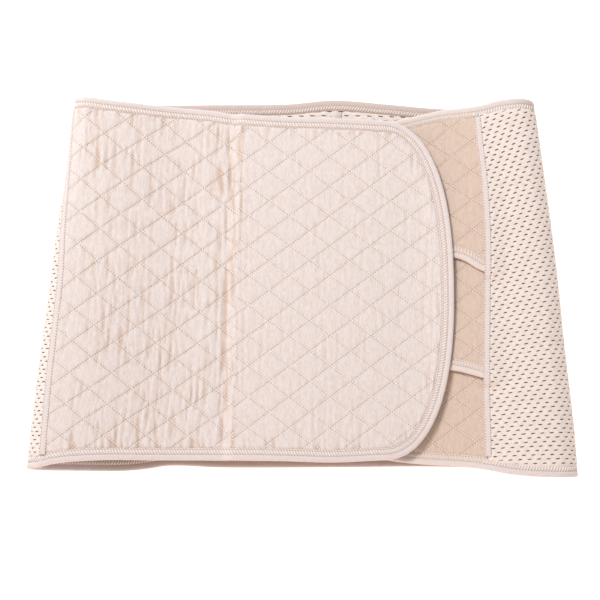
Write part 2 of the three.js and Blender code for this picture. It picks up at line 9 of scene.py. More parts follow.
import bmesh
import bpy
import numpy as np
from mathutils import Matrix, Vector


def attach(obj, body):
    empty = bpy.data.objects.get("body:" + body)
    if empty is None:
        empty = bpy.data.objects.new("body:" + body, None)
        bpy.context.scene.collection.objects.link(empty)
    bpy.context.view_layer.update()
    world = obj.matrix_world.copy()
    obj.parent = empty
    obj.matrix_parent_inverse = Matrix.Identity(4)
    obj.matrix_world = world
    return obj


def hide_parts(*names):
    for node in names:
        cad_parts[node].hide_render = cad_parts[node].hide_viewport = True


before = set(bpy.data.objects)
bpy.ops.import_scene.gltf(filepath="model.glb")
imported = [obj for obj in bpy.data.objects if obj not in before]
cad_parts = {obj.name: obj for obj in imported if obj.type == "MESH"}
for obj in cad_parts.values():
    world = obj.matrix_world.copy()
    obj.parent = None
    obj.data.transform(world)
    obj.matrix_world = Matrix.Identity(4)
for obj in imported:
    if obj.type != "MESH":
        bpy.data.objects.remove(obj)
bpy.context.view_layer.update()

# Camera, on a long lens nearly straight above, a little towards the hip edge.
CAMERA_ELEVATION = math.radians(81)
CAMERA_DISTANCE = 1.35
CAMERA_TARGET = Vector((-0.00174, -0.01342, 0.015))

camera = bpy.data.objects.new("camera", bpy.data.cameras.new("camera"))
bpy.context.scene.collection.objects.link(camera)
bpy.context.scene.camera = camera
camera.data.sensor_width = 36
camera.data.lens = 98.8
towards_camera = Vector((0, -math.cos(CAMERA_ELEVATION), math.sin(CAMERA_ELEVATION)))
camera.location = CAMERA_TARGET + towards_camera * CAMERA_DISTANCE
camera.rotation_euler = towards_camera.to_track_quat("Z", "Y").to_euler()
camera.data.clip_start = 0.05
camera.data.clip_end = 20

# Floor: a matt white sweep of paper, much wider than the wrap.
FLOOR_HALF_WIDTH = 4.0


def mesh_object(name, points, faces):
    """A new object from points in metres and lists of corners."""
    mesh = bpy.data.meshes.new(name)
    mesh.from_pydata(np.asarray(points, float).reshape(-1, 3).tolist(), [], faces)
    mesh.update()
    made = bpy.data.objects.new(name, mesh)
    bpy.context.scene.collection.objects.link(made)
    return made


def plain_material(name, colour, roughness):
    """A matt surface of one colour; its nodes can be added to."""
    made = bpy.data.materials.new(name)
    made.use_nodes = True
    shader = made.node_tree.nodes["Principled BSDF"]
    shader.inputs["Base Color"].default_value = (*colour, 1)
    shader.inputs["Roughness"].default_value = roughness
    shader.inputs["Specular IOR Level"].default_value = 0.2
    return made


floor_corners = [(x * FLOOR_HALF_WIDTH, y * FLOOR_HALF_WIDTH, 0) for x, y in
                 ((-1, -1), (1, -1), (1, 1), (-1, 1))]
floor = mesh_object("paper_floor", floor_corners, [(0, 1, 2, 3)])
paper = plain_material("paper", (0.85, 0.85, 0.85), 0.9)
paper_shader = paper.node_tree.nodes["Principled BSDF"]
paper_shader.inputs["Emission Color"].default_value = (1, 1, 1, 1)
paper_shader.inputs["Emission Strength"].default_value = 0.62
floor.data.materials.append(paper)

# Light: a bright white room, with a big soft box above the waist edge on the left, and two low
# warm ones that look in under the hip edge and under the flap's end.
world = bpy.data.worlds.new("studio")
bpy.context.scene.world = world
world.use_nodes = True
world.node_tree.nodes["Background"].inputs["Color"].default_value = (1, 1, 1, 1)
world.node_tree.nodes["Background"].inputs["Strength"].default_value = 0.54
bpy.context.scene.view_settings.view_transform = "Standard"


def soft_box(name, place, size, power, colour):
    """A square lamp that faces the wrap."""
    lamp = bpy.data.lights.new(name, "AREA")
    lamp.size = size
    lamp.color = colour
    lamp.energy = power
    made = bpy.data.objects.new(name, lamp)
    bpy.context.scene.collection.objects.link(made)
    made.location = place
    made.rotation_euler = Vector(place).to_track_quat("Z", "Y").to_euler()


soft_box("window_side", (-0.75, 1.0, 1.45), 0.6, 29, (1, 1, 1))
soft_box("hip_side", (-0.2, -1.3, 0.2), 0.3, 8.0, (1, 0.64, 0.46))
soft_box("strap_side", (1.4, -0.3, 0.3), 0.3, 3.0, (1, 0.70, 0.54))

# Mesh panel: warp-knitted spacer mesh, cream, from the left front seam round the back to the
# right front seam. Two knitted faces with slanted oval holes, held apart by spacer yarn; a brown
# sheet between them stands for the yarn and, as painted shade, for the shade deep in the holes.
WALL = 3.0
MID_HEIGHT = 11.5
WAIST_LEVEL, HIP_LEVEL = 157.0, -152.0
SLOPE_LEFT_END = -84.0
SLOPE_RIGHT_END = 80.0
LEFT_CORNER_TOP, LEFT_CORNER_BOTTOM = 160.3, -148.0
CENTRE_BACK = 27.75
ORIGIN = (-0.16, 3.42)

# Height on the body; x of both folds, their radius, how far round the left fold its seam lies in
# degrees, and x of the right seam
LOOP = np.array([
    (-155, -222.6, 221.7, 18.5, 12, 149.0), (-115, -219.2, 219.5, 18.2, 15, 148.6),
    (-75, -215.6, 215.9, 17.9, 18, 148.2), (-35, -211.3, 212.5, 17.5, 20, 149.3),
    (5, -206.9, 209.6, 17.1, 23, 150.4), (45, -203.0, 205.8, 16.8, 33, 151.0),
    (85, -197.4, 201.5, 16.5, 48, 149.4), (125, -192.8, 197.1, 16.2, 65, 145.9),
    (165, -189.4, 192.2, 16.0, 82, 143.0),
])
# Waist and hip edges across the back, and on the front from the right seam to the fold
BACK_TOP = np.array([(-175, 160.6), (-135, 158.3), (-71, 158.7), (-12, 159.3), (26, 162.7),
                     (66, 159.7), (113, 155.3), (145, 154.6), (178, 156.0)])
BACK_BOTTOM = np.array([(-203, -148.6), (-148, -149.0), (-128, -147.4), (-107, -144.6),
                        (-65, -146.1), (30, -145.9), (109, -145.4), (160, -147.6),
                        (203, -153.2)])
RIGHT_TOP = np.array([(125, 150.0), (145, 151.3), (163, 154.9), (178, 156.3)])
RIGHT_BOTTOM = np.array([(140, -148.0), (152, -150.2), (167, -153.2), (185, -155.1),
                         (203, -155.8)])


def read(table, column, at):
    """Reads a column at any place, on a smooth curve through the rows, straight past its ends."""
    keys, values = table[:, 0], table[:, column]
    before = np.maximum(np.arange(len(keys)) - 1, 0)
    after = np.minimum(np.arange(len(keys)) + 1, len(keys) - 1)
    slopes = (values[after] - values[before]) / (keys[after] - keys[before])
    at = np.asarray(at, float)
    i = np.clip(np.searchsorted(keys, at, side="right") - 1, 0, len(keys) - 2)
    span = keys[i + 1] - keys[i]
    t = (at - keys[i]) / span
    u = np.clip(t, 0, 1)
    curve = (values[i] * (2 * u**3 - 3 * u**2 + 1) + values[i + 1] * (3 * u**2 - 2 * u**3)
             + slopes[i] * span * (u**3 - 2 * u**2 + u) + slopes[i + 1] * span * (u**3 - u**2))
    return curve + (t - u) * span * np.where(t < 0, slopes[i], slopes[i + 1])


def side_by_side(*columns):
    """Numbers of any matching shapes as the last axis of one array."""
    return np.stack(np.broadcast_arrays(*columns), axis=-1)


def mix(a, b, t):
    return a + (b - a) * t


def smooth(t):
    c = np.clip(t, 0, 1)
    return c * c * (3 - 2 * c)


def radius(y):
    return read(LOOP, 3, y)


def crest(side, y):
    """x of the top of the left or right fold."""
    return read(LOOP, 1, y) + radius(y) if side < 0 else read(LOOP, 2, y) - radius(y)


def seam_turn(y):
    return np.radians(read(LOOP, 4, y))


def left_seam(y):
    return crest(-1, y) - seam_turn(y) * (radius(y) - WALL / 2)


def right_seam(y):
    return read(LOOP, 5, y)


def placed(x, y, z):
    """Metres in the frame, from millimetres on the measured wrap."""
    return side_by_side(x - ORIGIN[0], y - ORIGIN[1], z) / 1000


def on_fold(side, turn, y, h):
    """A point on a fold, turn radians past its crest, h above the wall's inner face."""
    reach = radius(y) - WALL + h
    return placed(crest(side, y) + side * reach * np.sin(turn), y,
                  radius(y) + reach * np.cos(turn))


def front_height(x, y):
    top = 2 * radius(y) - WALL
    right, left = crest(1, y), crest(-1, y)
    on_right = mix(top, MID_HEIGHT, smooth((right - x) / (right - SLOPE_RIGHT_END)))
    on_left = mix(top, MID_HEIGHT, smooth((x - left) / (SLOPE_LEFT_END - left)))
    return np.where(x > 0, on_right, on_left)


def on_front(x, y, h):
    """A point on the front; past the left crest it follows the fold."""
    x, y, h = np.broadcast_arrays(x, y, h)
    past = crest(-1, y) - x
    bent = on_fold(-1, past / (radius(y) - WALL / 2), y, h)
    return np.where((past > 0)[..., None], bent, placed(x, y, front_height(x, y) + h))


def on_panel(girth, y, h):
    """A point on the mesh panel. Girth is measured along the cloth from the centre back, and is
    positive towards the right fold."""
    girth, y, h = np.broadcast_arrays(girth, y, h)
    side = np.where(girth < 0, -1.0, 1.0)
    fold_x = np.where(girth < 0, crest(-1, y), crest(1, y))
    back = np.abs(fold_x - CENTRE_BACK)
    bend = radius(y) - WALL / 2
    past = np.abs(girth) - back
    turn = np.clip(past / bend, 0, math.pi)
    reach = radius(y) - WALL + h
    over = np.maximum(past - math.pi * bend, 0)
    flat_back = placed(CENTRE_BACK + girth, y, WALL - h)
    bent = placed(fold_x + side * reach * np.sin(math.pi - turn), y,
                  radius(y) + reach * np.cos(math.pi - turn))
    front = on_front(fold_x - side * over, y, h)
    made = np.where((past > 0)[..., None], bent, flat_back)
    return np.where((over > 0)[..., None], front, made)


def girth_at_crest(side, y):
    back = np.abs(crest(side, y) - CENTRE_BACK)
    return side * (back + math.pi * (radius(y) - WALL / 2))


def panel_end(side, y):
    """Girth at which the panel meets the right or the left seam."""
    if side > 0:
        return girth_at_crest(1, y) + crest(1, y) - right_seam(y)
    return girth_at_crest(-1, y) + seam_turn(y) * (radius(y) - WALL / 2)


def panel_edge(girth, top):
    """y of the waist or hip edge of the panel at a girth."""
    level = WAIST_LEVEL if top else HIP_LEVEL
    back_table = BACK_TOP if top else BACK_BOTTOM
    front_table = RIGHT_TOP if top else RIGHT_BOTTOM
    left_end = LEFT_CORNER_TOP if top else LEFT_CORNER_BOTTOM
    right_crest, left_crest = girth_at_crest(1, level), girth_at_crest(-1, level)
    back = read(back_table, 1, np.clip(CENTRE_BACK + girth, back_table[0, 0], back_table[-1, 0]))
    front = read(front_table, 1, crest(1, level) - (girth - right_crest))
    fold = math.pi * (radius(level) - WALL / 2)
    right_share = smooth((girth - (right_crest - fold)) / fold)
    left_share = smooth(((left_crest + fold) - girth) / fold)
    at_right_fold = read(front_table, 1, crest(1, level))
    front = np.where(girth > right_crest, front, at_right_fold)
    return mix(mix(back, front, right_share), left_end, left_share)


# The straps lie like shingles under the right seam and lift it and the end of the mesh with it.
OVERLAP_LIFT = 3.9
OVERLAP = 18.0
# x, waist edge of the upper strap, low edge of the upper and of the middle strap, and hip edge
STRAP_EDGE = np.array([
    (-60, 138.0, 25.0, -67.0, -139.0), (60, 138.5, 25.0, -67.0, -140.0),
    (80, 142.2, 25.2, -67.3, -142.6), (100, 146.7, 25.4, -67.8, -144.6),
    (117, 149.4, 24.8, -68.4, -145.8), (131, 150.1, 21.2, -71.2, -147.0),
    (143, 151.0, 13.4, -75.0, -148.5), (152, 152.4, 9.2, -78.0, -150.2),
])


def strap_edge(column, extra=0.0):
    return lambda x: read(STRAP_EDGE, column, x) + extra


def tape_hump(x, y):
    """How far each strap that rides on the next one lifts the right seam."""
    humps = []
    for low, high in ((strap_edge(2), strap_edge(1)), (strap_edge(3), strap_edge(2, OVERLAP))):
        lift = np.minimum(OVERLAP_LIFT, OVERLAP_LIFT * (high(x) - y) / (high(x) - low(x)))
        humps.append(np.where(y > high(x), 0, smooth((y - low(x) + 9) / 8) * lift))
    return np.maximum(humps[0], humps[1])


def end_lift(girth, y, h):
    """The mesh rises with its right seam, and a slim rib runs beside the tape."""
    past = panel_end(1, y) - girth
    lift = tape_hump(right_seam(y), y) * (1 - smooth((past - 2.0) / 16.0))
    return lift + np.where(h > WALL / 2, 0.8 * np.exp(-((past - 4.2) / 1.0) ** 2), 0.0)


def grid_faces(rows, columns, keep=None):
    """Quads between a grid's points, numbered row by row."""
    r, c = np.meshgrid(np.arange(rows - 1), np.arange(columns - 1), indexing="ij")
    a = (r * columns + c).ravel()
    faces = np.stack([a, a + 1, a + columns + 1, a + columns], axis=1)
    return faces if keep is None else faces[keep.ravel()]


def grid_piece(name, points, flat):
    """A smooth sheet from a grid of points, with its flat places in metres as its UV map."""
    rows, columns = points.shape[:2]
    made = mesh_object(name, points, grid_faces(rows, columns).tolist())
    lay_flat(made, flat.reshape(-1, 2)[loop_corners(made)])
    made.data.shade_smooth()
    return made


def loop_corners(made):
    """The point at each corner of each face, in order."""
    corners = np.empty(len(made.data.loops), np.int32)
    made.data.loops.foreach_get("vertex_index", corners)
    return corners


def lay_flat(made, corner_places):
    """Stores flat places in metres, one for each corner of each face, as the UV map 'flat'."""
    layer = made.data.uv_layers.new(name="flat")
    layer.uv.foreach_set("vector", np.asarray(corner_places, np.float32).ravel())


# Girth of the front seams at mid height, and how steeply the rows of holes sink there
FRONT_GIRTH = 231.0
ROW_SLOPE = math.radians(10.5)


def panel_points(low, high, h, overhang=0.0, rows=71, columns=421):
    """Places on the mesh panel, from low to high past its hip and waist edges, and their flat
    places in the knitted fabric. The fabric is cut straight, so its rows sink and its columns
    fan out round the narrow waist."""
    level = mix(HIP_LEVEL, WAIST_LEVEL, np.linspace(0, 1, rows))[:, None]
    along = np.linspace(-1, 1, columns)
    girths = np.where(along < 0, along * -(panel_end(-1, level) - overhang),
                      along * (panel_end(1, level) + overhang))
    heights = mix(panel_edge(girths, False) + low, panel_edge(girths, True) - high,
                  np.linspace(0, 1, rows)[:, None])
    into_hip = heights - panel_edge(girths, False)
    into_waist = panel_edge(girths, True) - heights
    in_binding = 1 - smooth((np.minimum(into_hip, into_waist) - 8.0) / 2.0)
    h = mix(h, 1.0 + 0.25 * h, in_binding)
    # Past a seam the sheet tucks in under the next cloth.
    past_seam = np.maximum(girths - panel_end(1, heights), panel_end(-1, heights) - girths)
    h = h - np.clip(past_seam / 3.0, 0, 1) * np.sign(h) * 3.2 + end_lift(girths, heights, h)
    share = np.abs(girths) / FRONT_GIRTH
    near_front = smooth((np.abs(girths) - FRONT_GIRTH + 100.0) / 60.0)
    sink = (0.5 * ROW_SLOPE * FRONT_GIRTH * share ** 2
            + 2 * ROW_SLOPE * heights / 300.0 * (np.abs(girths) - FRONT_GIRTH + 25.0) * near_front)
    fan = np.sign(girths) * share * (1.3 - 0.3 * share ** 2) * (
        0.19 * heights + 0.11 / 300.0 * heights ** 2)
    flat = side_by_side(girths - fan, heights + sink)
    return on_panel(girths, heights, h), flat / 1000


def add_node(tree, kind, inputs=None, **settings):
    """A new node with its settings, and each input given as a value or as an output to link."""
    made = tree.nodes.new(kind)
    for name, value in settings.items():
        setattr(made, name, value)
    for key, value in (inputs or {}).items():
        if isinstance(value, bpy.types.NodeSocket):
            tree.links.new(value, made.inputs[key])
        else:
            made.inputs[key].default_value = value
    return made


def output(tree, kind, inputs=None, **settings):
    """The first output of a new node."""
    return add_node(tree, kind, inputs, **settings).outputs[0]


def new_tree(name, sizes):
    """An empty Geometry Nodes tree whose inputs are a geometry and the named sizes."""
    tree = bpy.data.node_groups.new(name, "GeometryNodeTree")
    tree.interface.new_socket("Geometry", in_out="INPUT", socket_type="NodeSocketGeometry")
    for label, kind in sizes.items():
        tree.interface.new_socket(label, in_out="INPUT", socket_type=f"NodeSocket{kind}")
    tree.interface.new_socket("Geometry", in_out="OUTPUT", socket_type="NodeSocketGeometry")
    return tree, add_node(tree, "NodeGroupInput").outputs


# Points closer than this, in metres, become one
WELD = 2e-6


def laid_on_cloth(tree, geometry, cloth, material):
    """Ends a tree: lays what was made in flat places onto the cloth by its UV map 'flat', z as
    height along the cloth's normal, and drops what falls outside it."""
    place = output(tree, "GeometryNodeInputPosition")
    flat_map = add_node(tree, "GeometryNodeInputNamedAttribute", {"Name": "flat"},
                        data_type="FLOAT_VECTOR").outputs["Attribute"]
    found, normal = (sample_flat(tree, cloth, output(tree, kind), flat_map, place)
                     for kind in ("GeometryNodeInputPosition", "GeometryNodeInputNormal"))
    outside = output(tree, "FunctionNodeBooleanMath", {0: found.outputs["Is Valid"]},
                     operation="NOT")
    height = add_node(tree, "ShaderNodeSeparateXYZ", {0: place}).outputs["Z"]
    raised = output(tree, "ShaderNodeVectorMath", {
        0: normal.outputs["Value"], "Scale": height}, operation="SCALE")
    for kind, inputs, settings in (
            ("StoreNamedAttribute", {"Name": "flat", "Value": place},
             {"data_type": "FLOAT2", "domain": "CORNER"}),
            ("DeleteGeometry", {"Selection": outside}, {"domain": "POINT"}),
            ("SetPosition", {"Position": found.outputs["Value"], "Offset": raised}, {}),
            ("MergeByDistance", {"Distance": WELD}, {}), ("SetShadeSmooth", {}, {}),
            ("SetMaterial", {"Material": material}, {})):
        geometry = output(tree, "GeometryNode" + kind, {"Geometry": geometry, **inputs},
                          **settings)
    add_node(tree, "NodeGroupOutput", {0: geometry})


def sample_flat(tree, cloth, value, flat_map, place):
    """Reads a value of the cloth at a flat place."""
    made = add_node(tree, "GeometryNodeSampleUVSurface", data_type="FLOAT_VECTOR")
    sockets = {s.identifier: s for s in made.inputs if s.enabled}
    for label, given in (("Mesh", cloth), ("Value", value), ("Source UV Map", flat_map),
                         ("Sample UV", place)):
        tree.links.new(given, sockets[label])
    return made


def grown(name, base, tree, values):
    """The plain mesh that a tree makes from a base object, which is removed."""
    modifier = base.modifiers.new("grow", "NODES")
    modifier.node_group = tree
    for item in tree.interface.items_tree:
        if item.in_out == "INPUT" and item.name in values:
            modifier[item.identifier] = values[item.name]
    graph = bpy.context.evaluated_depsgraph_get()
    mesh = bpy.data.meshes.new_from_object(base.evaluated_get(graph), depsgraph=graph)
    mesh.name = name
    base.modifiers.clear()
    made = bpy.data.objects.new(name, mesh)
    bpy.context.scene.collection.objects.link(made)
    bpy.data.objects.remove(base)
    return made


def shader_group(name, given, made):
    """An empty shader node group: inputs as (name, kind, value), outputs as (name, kind)."""
    group = bpy.data.node_groups.new(name, "ShaderNodeTree")
    for label, kind, value in given:
        socket = group.interface.new_socket(label, in_out="INPUT", socket_type=f"NodeSocket{kind}")
        if value is not None:
            socket.default_value = value
    for label, kind in made:
        group.interface.new_socket(label, in_out="OUTPUT", socket_type=f"NodeSocket{kind}")
    ends = add_node(group, "NodeGroupInput").outputs, add_node(group, "NodeGroupOutput").inputs
    return (group, *ends)


def arithmetic(tree, operation, a, b=0.0, c=0.0):
    return output(tree, "ShaderNodeMath", {0: a, 1: b, 2: c}, operation=operation)


def knitted_loops():
    """Rows of knitted loops: wales as ribs, each crossed by a V at every course."""
    group, given, made = shader_group("knitted_loops", [
        ("Place", "Vector", None), ("Wale", "Float", 0.9), ("Course", "Float", 0.7)],
        [("Height", "Float")])
    place = add_node(group, "ShaderNodeSeparateXYZ", {0: given["Place"]}).outputs
    wale = arithmetic(group, "DIVIDE", place["X"], given["Wale"])
    course = arithmetic(group, "DIVIDE", place["Y"], given["Course"])
    slant = arithmetic(group, "PINGPONG", wale, 0.5)
    rib = arithmetic(group, "ABSOLUTE", arithmetic(
        group, "SINE", arithmetic(group, "MULTIPLY", wale, math.pi)))
    turn = arithmetic(group, "MULTIPLY_ADD", slant, 1.4, course)
    loop = arithmetic(group, "SINE", arithmetic(group, "MULTIPLY", turn, 2 * math.pi))
    share = arithmetic(group, "MULTIPLY_ADD", loop, 0.35, 0.65)
    group.links.new(arithmetic(group, "MULTIPLY", rib, share), made["Height"])
    return group


def heathered_yarn_and_shade():
    """Pale yarn flecked with a deeper one, in soft streaks along the wales; painted shade in
    hollows and creases mixes it further towards the deeper one.
    """
    group, given, made = shader_group("heathered_yarn_and_shade", [
        ("Place", "Vector", None), ("Pale", "Color", (1, 1, 1, 1)), ("Deep", "Color", (0, 0, 0, 1)),
        ("Flecks", "Float", 0.5), ("Painted Shade", "Float", 0.0)], [("Color", "Color")])
    fine, broad = (output(group, "ShaderNodeVectorMath", {0: given["Place"], 1: scales},
                          operation="MULTIPLY")
                   for scales in ((0.8, 0.26, 1.0), (0.3, 0.09, 1.0)))
    flecks = output(group, "ShaderNodeTexNoise", {
        "Vector": fine, "Scale": 1.0, "Detail": 4.0, "Roughness": 0.7})
    clouds = output(group, "ShaderNodeTexNoise", {"Vector": broad, "Scale": 1.0, "Detail": 2.0})
    both = arithmetic(group, "MULTIPLY_ADD", clouds, 0.35, flecks)
    spread = output(group, "ShaderNodeMapRange", {
        "Value": both, "From Min": 0.56, "From Max": 0.82})
    share = arithmetic(group, "MULTIPLY_ADD", spread, given["Flecks"], given["Painted Shade"])
    tone = add_node(group, "ShaderNodeMix", data_type="RGBA", blend_type="MIX")
    sockets = {socket.identifier: socket for socket in tone.inputs}
    for label, value in (("Factor_Float", arithmetic(group, "MINIMUM", share, 1.0)),
                         ("A_Color", given["Pale"]), ("B_Color", given["Deep"])):
        group.links.new(value, sockets[label])
    colour = {socket.identifier: socket for socket in tone.outputs}["Result_Color"]
    group.links.new(colour, made["Color"])
    return group


KNITTED_LOOPS = knitted_loops()
HEATHERED_YARN_AND_SHADE = heathered_yarn_and_shade()


def knit(name, pale, deep, flecks, wale, course, depth, roughness=0.92):
    """A knitted cloth, patterned in millimetres on its own flat map."""
    made = plain_material(name, pale, roughness)
    tree = made.node_tree
    shader = tree.nodes["Principled BSDF"]
    flat = output(tree, "ShaderNodeUVMap", uv_map="flat")
    place = output(tree, "ShaderNodeVectorMath", {0: flat, "Scale": 1000.0}, operation="SCALE")
    # Painted shade: the stored attribute deepens the colour in hollows, creases and shaded bands.
    painted_shade = add_node(tree, "ShaderNodeAttribute", attribute_name="painted_shade").outputs["Fac"]
    yarn = output(tree, "ShaderNodeGroup", {
        "Place": place, "Pale": (*pale, 1), "Deep": (*deep, 1), "Flecks": flecks,
        "Painted Shade": painted_shade}, node_tree=HEATHERED_YARN_AND_SHADE)
    loops = output(tree, "ShaderNodeGroup", {
        "Place": place, "Wale": wale, "Course": course}, node_tree=KNITTED_LOOPS)
    tree.links.new(yarn, shader.inputs["Base Color"])
    bump = output(tree, "ShaderNodeBump", {
        "Height": loops, "Strength": 0.6, "Distance": depth / 1000})
    tree.links.new(bump, shader.inputs["Normal"])
    return made


# Perforations: a brick pattern of cells, each a patch of knitting round one slanted hole.
HOLE_PITCH = 7.6
HOLE_ROW = 3.55
HOLE_LENGTH = 3.7
HOLE_WIDTH = 0.95
HOLE_SLANT = math.radians(-6)
HOLE_RIM_DEPTH = 0.35
HOLES_ACROSS, HOLES_UP = 92, 104


def hole_cell():
    """One cell: a rectangle with an oval hole whose rim is pushed in."""
    xs = np.array([-2, -1, 0, 1, 2]) * HOLE_PITCH / 4
    half = HOLE_ROW / 2
    border = [(x, -half) for x in xs] + [(xs[-1], 0)] + [(x, half) for x in xs[::-1]]
    border.append((xs[0], 0))
    angles = np.arctan2(*np.transpose(border)[::-1])
    oval = []
    for (x, y) in border:
        turn = math.atan2(y / HOLE_ROW, x / HOLE_PITCH)
        across, up = HOLE_LENGTH / 2 * math.cos(turn), HOLE_WIDTH / 2 * math.sin(turn)
        oval.append((across * math.cos(HOLE_SLANT) - up * math.sin(HOLE_SLANT),
                     across * math.sin(HOLE_SLANT) + up * math.cos(HOLE_SLANT)))
    points = [(x, y, 0) for x, y in border] + [(x, y, -HOLE_RIM_DEPTH) for x, y in oval]
    count = len(border)
    faces = [(k, (k + 1) % count, (k + 1) % count + count, k + count) for k in range(count)]
    return mesh_object("hole_cell", np.array(points) / 1000, faces)


def copied(tree, points, piece, **turn):
    """Real copies of a helper object at points, turned by a rotation where one is given."""
    shape = add_node(tree, "GeometryNodeObjectInfo", {"Object": piece}).outputs["Geometry"]
    copies = output(tree, "GeometryNodeInstanceOnPoints", {
        "Points": points, "Instance": shape, **turn})
    return output(tree, "GeometryNodeRealizeInstances", {"Geometry": copies})


def perforations_tree():
    """A brick pattern of cells, joined into one fabric and laid on a cloth."""
    tree, given = new_tree("perforations", {
        "Cell": "Object", "Pitch": "Float", "Row": "Float", "Across": "Int", "Up": "Int",
        "Material": "Material"})
    width = arithmetic(tree, "MULTIPLY", given["Across"], given["Pitch"])
    length = arithmetic(tree, "MULTIPLY", given["Up"], given["Row"])
    across = arithmetic(tree, "ADD", given["Across"], 1.0)
    up = arithmetic(tree, "ADD", given["Up"], 1.0)
    centres = add_node(tree, "GeometryNodeMeshGrid", {
        "Size X": width, "Size Y": length, "Vertices X": across, "Vertices Y": up}).outputs["Mesh"]
    index = output(tree, "GeometryNodeInputIndex")
    odd = arithmetic(tree, "MODULO", arithmetic(tree, "MODULO", index, up), 2.0)
    half = arithmetic(tree, "MULTIPLY", given["Pitch"], 0.5)
    shift = output(tree, "ShaderNodeCombineXYZ", {0: arithmetic(tree, "MULTIPLY", odd, half)})
    moved = output(tree, "GeometryNodeSetPosition", {"Geometry": centres, "Offset": shift})
    joined = output(tree, "GeometryNodeMergeByDistance", {
        "Geometry": copied(tree, moved, given["Cell"]), "Distance": WELD})
    laid_on_cloth(tree, joined, given["Geometry"], given["Material"])
    return tree


PERFORATIONS = perforations_tree()
CELL = hole_cell()


def mesh_face(name, h, material, outward):
    points, flat = panel_points(2.0, 2.0, h, overhang=2.0)
    turn = -1 if outward else 1
    cloth = grid_piece(f"{name}_cloth", points[:, ::turn], flat[:, ::turn])
    return grown(name, cloth, PERFORATIONS, {
        "Cell": CELL, "Pitch": HOLE_PITCH / 1000, "Row": HOLE_ROW / 1000,
        "Across": HOLES_ACROSS, "Up": HOLES_UP, "Material": material})


def dressed(made, material, slot, *nodes):
    """Gives a finished piece its material and its body, and hides the nodes that it stands for;
    slot is not used.
    """
    made.data.materials.clear()
    made.data.materials.append(material)
    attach(made, "root")
    if nodes:
        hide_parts(*nodes)
    return made


MESH_CREAM = knit("mesh_cream", (0.88, 0.79, 0.74), (0.66, 0.49, 0.39), 0.4, 0.95, 1.18, 0.4)
# Brown of the spacer yarn, darkened as painted shade for the depth of the holes.
SPACER_YARN_AND_SHADE = knit("spacer_yarn_and_painted_shade", (0.55, 0.25, 0.14), (0.34, 0.15, 0.08), 0.6, 0.6, 0.6, 0.3)
outer_face = mesh_face("mesh_outer_face", WALL, MESH_CREAM, True)
inner_face = mesh_face("mesh_inner_face", 0.0, MESH_CREAM, False)
core_points, core_flat = panel_points(3.0, 3.0, WALL / 2, overhang=-1.0)
core = grid_piece("mesh_spacer_yarn", core_points[:, ::-1], core_flat[:, ::-1])
dressed(outer_face, MESH_CREAM, "spacer_mesh", "mesh_panel")
dressed(inner_face, MESH_CREAM, "spacer_mesh")
dressed(core, SPACER_YARN_AND_SHADE, "spacer_mesh")
bpy.data.objects.remove(CELL)


# Bone channel: a pressed tape of knit cotton sewn upright inside the centre back, over a bone.
def run_along(path):
    """How far along a path each of its points is."""
    return np.concatenate([[0], np.cumsum(np.linalg.norm(np.diff(path, axis=0), axis=1))])


def resampled(path, step):
    """A path's points at equal steps along it."""
    path = np.asarray(path, float)
    run = run_along(path)
    at = np.linspace(0, run[-1], max(2, int(round(run[-1] / step)) + 1))
    return side_by_side(*(np.interp(at, run, column) for column in path.T)), at


def inward_of(path):
    """Unit directions to the left of a path."""
    ahead = np.gradient(path, axis=0)
    left = side_by_side(-ahead[:, 1], ahead[:, 0])
    return left / np.linalg.norm(left, axis=1, keepdims=True)


def swept(name, path, run, inward, section, place, swell=0.0, painted_shade=0.0):
    """A closed strip along a flat path. section is a loop of (inward, height) points; swell adds
    to the heights, and painted_shade deepens the colour as painted shade, at each step and section
    point. Its flat map is (run, round)."""
    section = np.asarray(section, float)
    steps, count = len(path), len(section)
    reach = np.broadcast_to(section[:, 0], (steps, count))
    height = np.broadcast_to(section[:, 1], (steps, count)) + swell
    x = path[:, 0:1] + inward[:, 0:1] * reach
    y = path[:, 1:2] + inward[:, 1:2] * reach
    k = np.arange(count)
    faces = [(i * count + a, (i + 1) * count + a, (i + 1) * count + b, i * count + b)
             for i in range(steps - 1) for a, b in zip(k, (k + 1) % count)]
    ends = [tuple(range(count - 1, -1, -1)),
            tuple(range((steps - 1) * count, steps * count))]
    made = mesh_object(name, place(x, y, height), [tuple(map(int, f)) for f in faces] + ends)
    arc = run_along(np.vstack([section, section[:1]]))
    corners = [(run[i + di], arc[a + da]) for i in range(steps - 1) for a in range(count)
               for di, da in ((0, 0), (1, 0), (1, 1), (0, 1))]
    corners += [(-1.0, -1.0)] * (2 * count)
    lay_flat(made, np.array(corners) / 1000)
    store_painted_shade(made, np.broadcast_to(painted_shade, (steps, count)))
    made.data.shade_smooth()
    return made


def store_painted_shade(made, painted_shade):
    """Stores at each point how far painted shade deepens the yarn's colour there, from 0 to 1."""
    shade = made.data.attributes.new("painted_shade", "FLOAT", "POINT")
    shade.data.foreach_set("value", np.clip(painted_shade, 0, 1).astype(np.float32).ravel())


def facing_out(made):
    """Turns a closed piece's faces outwards."""
    work = bmesh.new()
    work.from_mesh(made.data)
    bmesh.ops.recalc_face_normals(work, faces=work.faces)
    work.to_mesh(made.data)
    work.free()
    return made


KNIT_COTTON = knit("knit_cotton", (0.735, 0.655, 0.64), (0.60, 0.46, 0.40), 0.25, 0.75, 0.6, 0.2)
CHANNEL_SECTION = [(-5.1, 3.25), (5.1, 3.25), (5.2, 3.6), (4.6, 3.75), (3.6, 3.7), (2.9, 4.5),
                   (0.0, 4.8), (-2.9, 4.5), (-3.6, 3.7), (-4.6, 3.75), (-5.2, 3.6)]


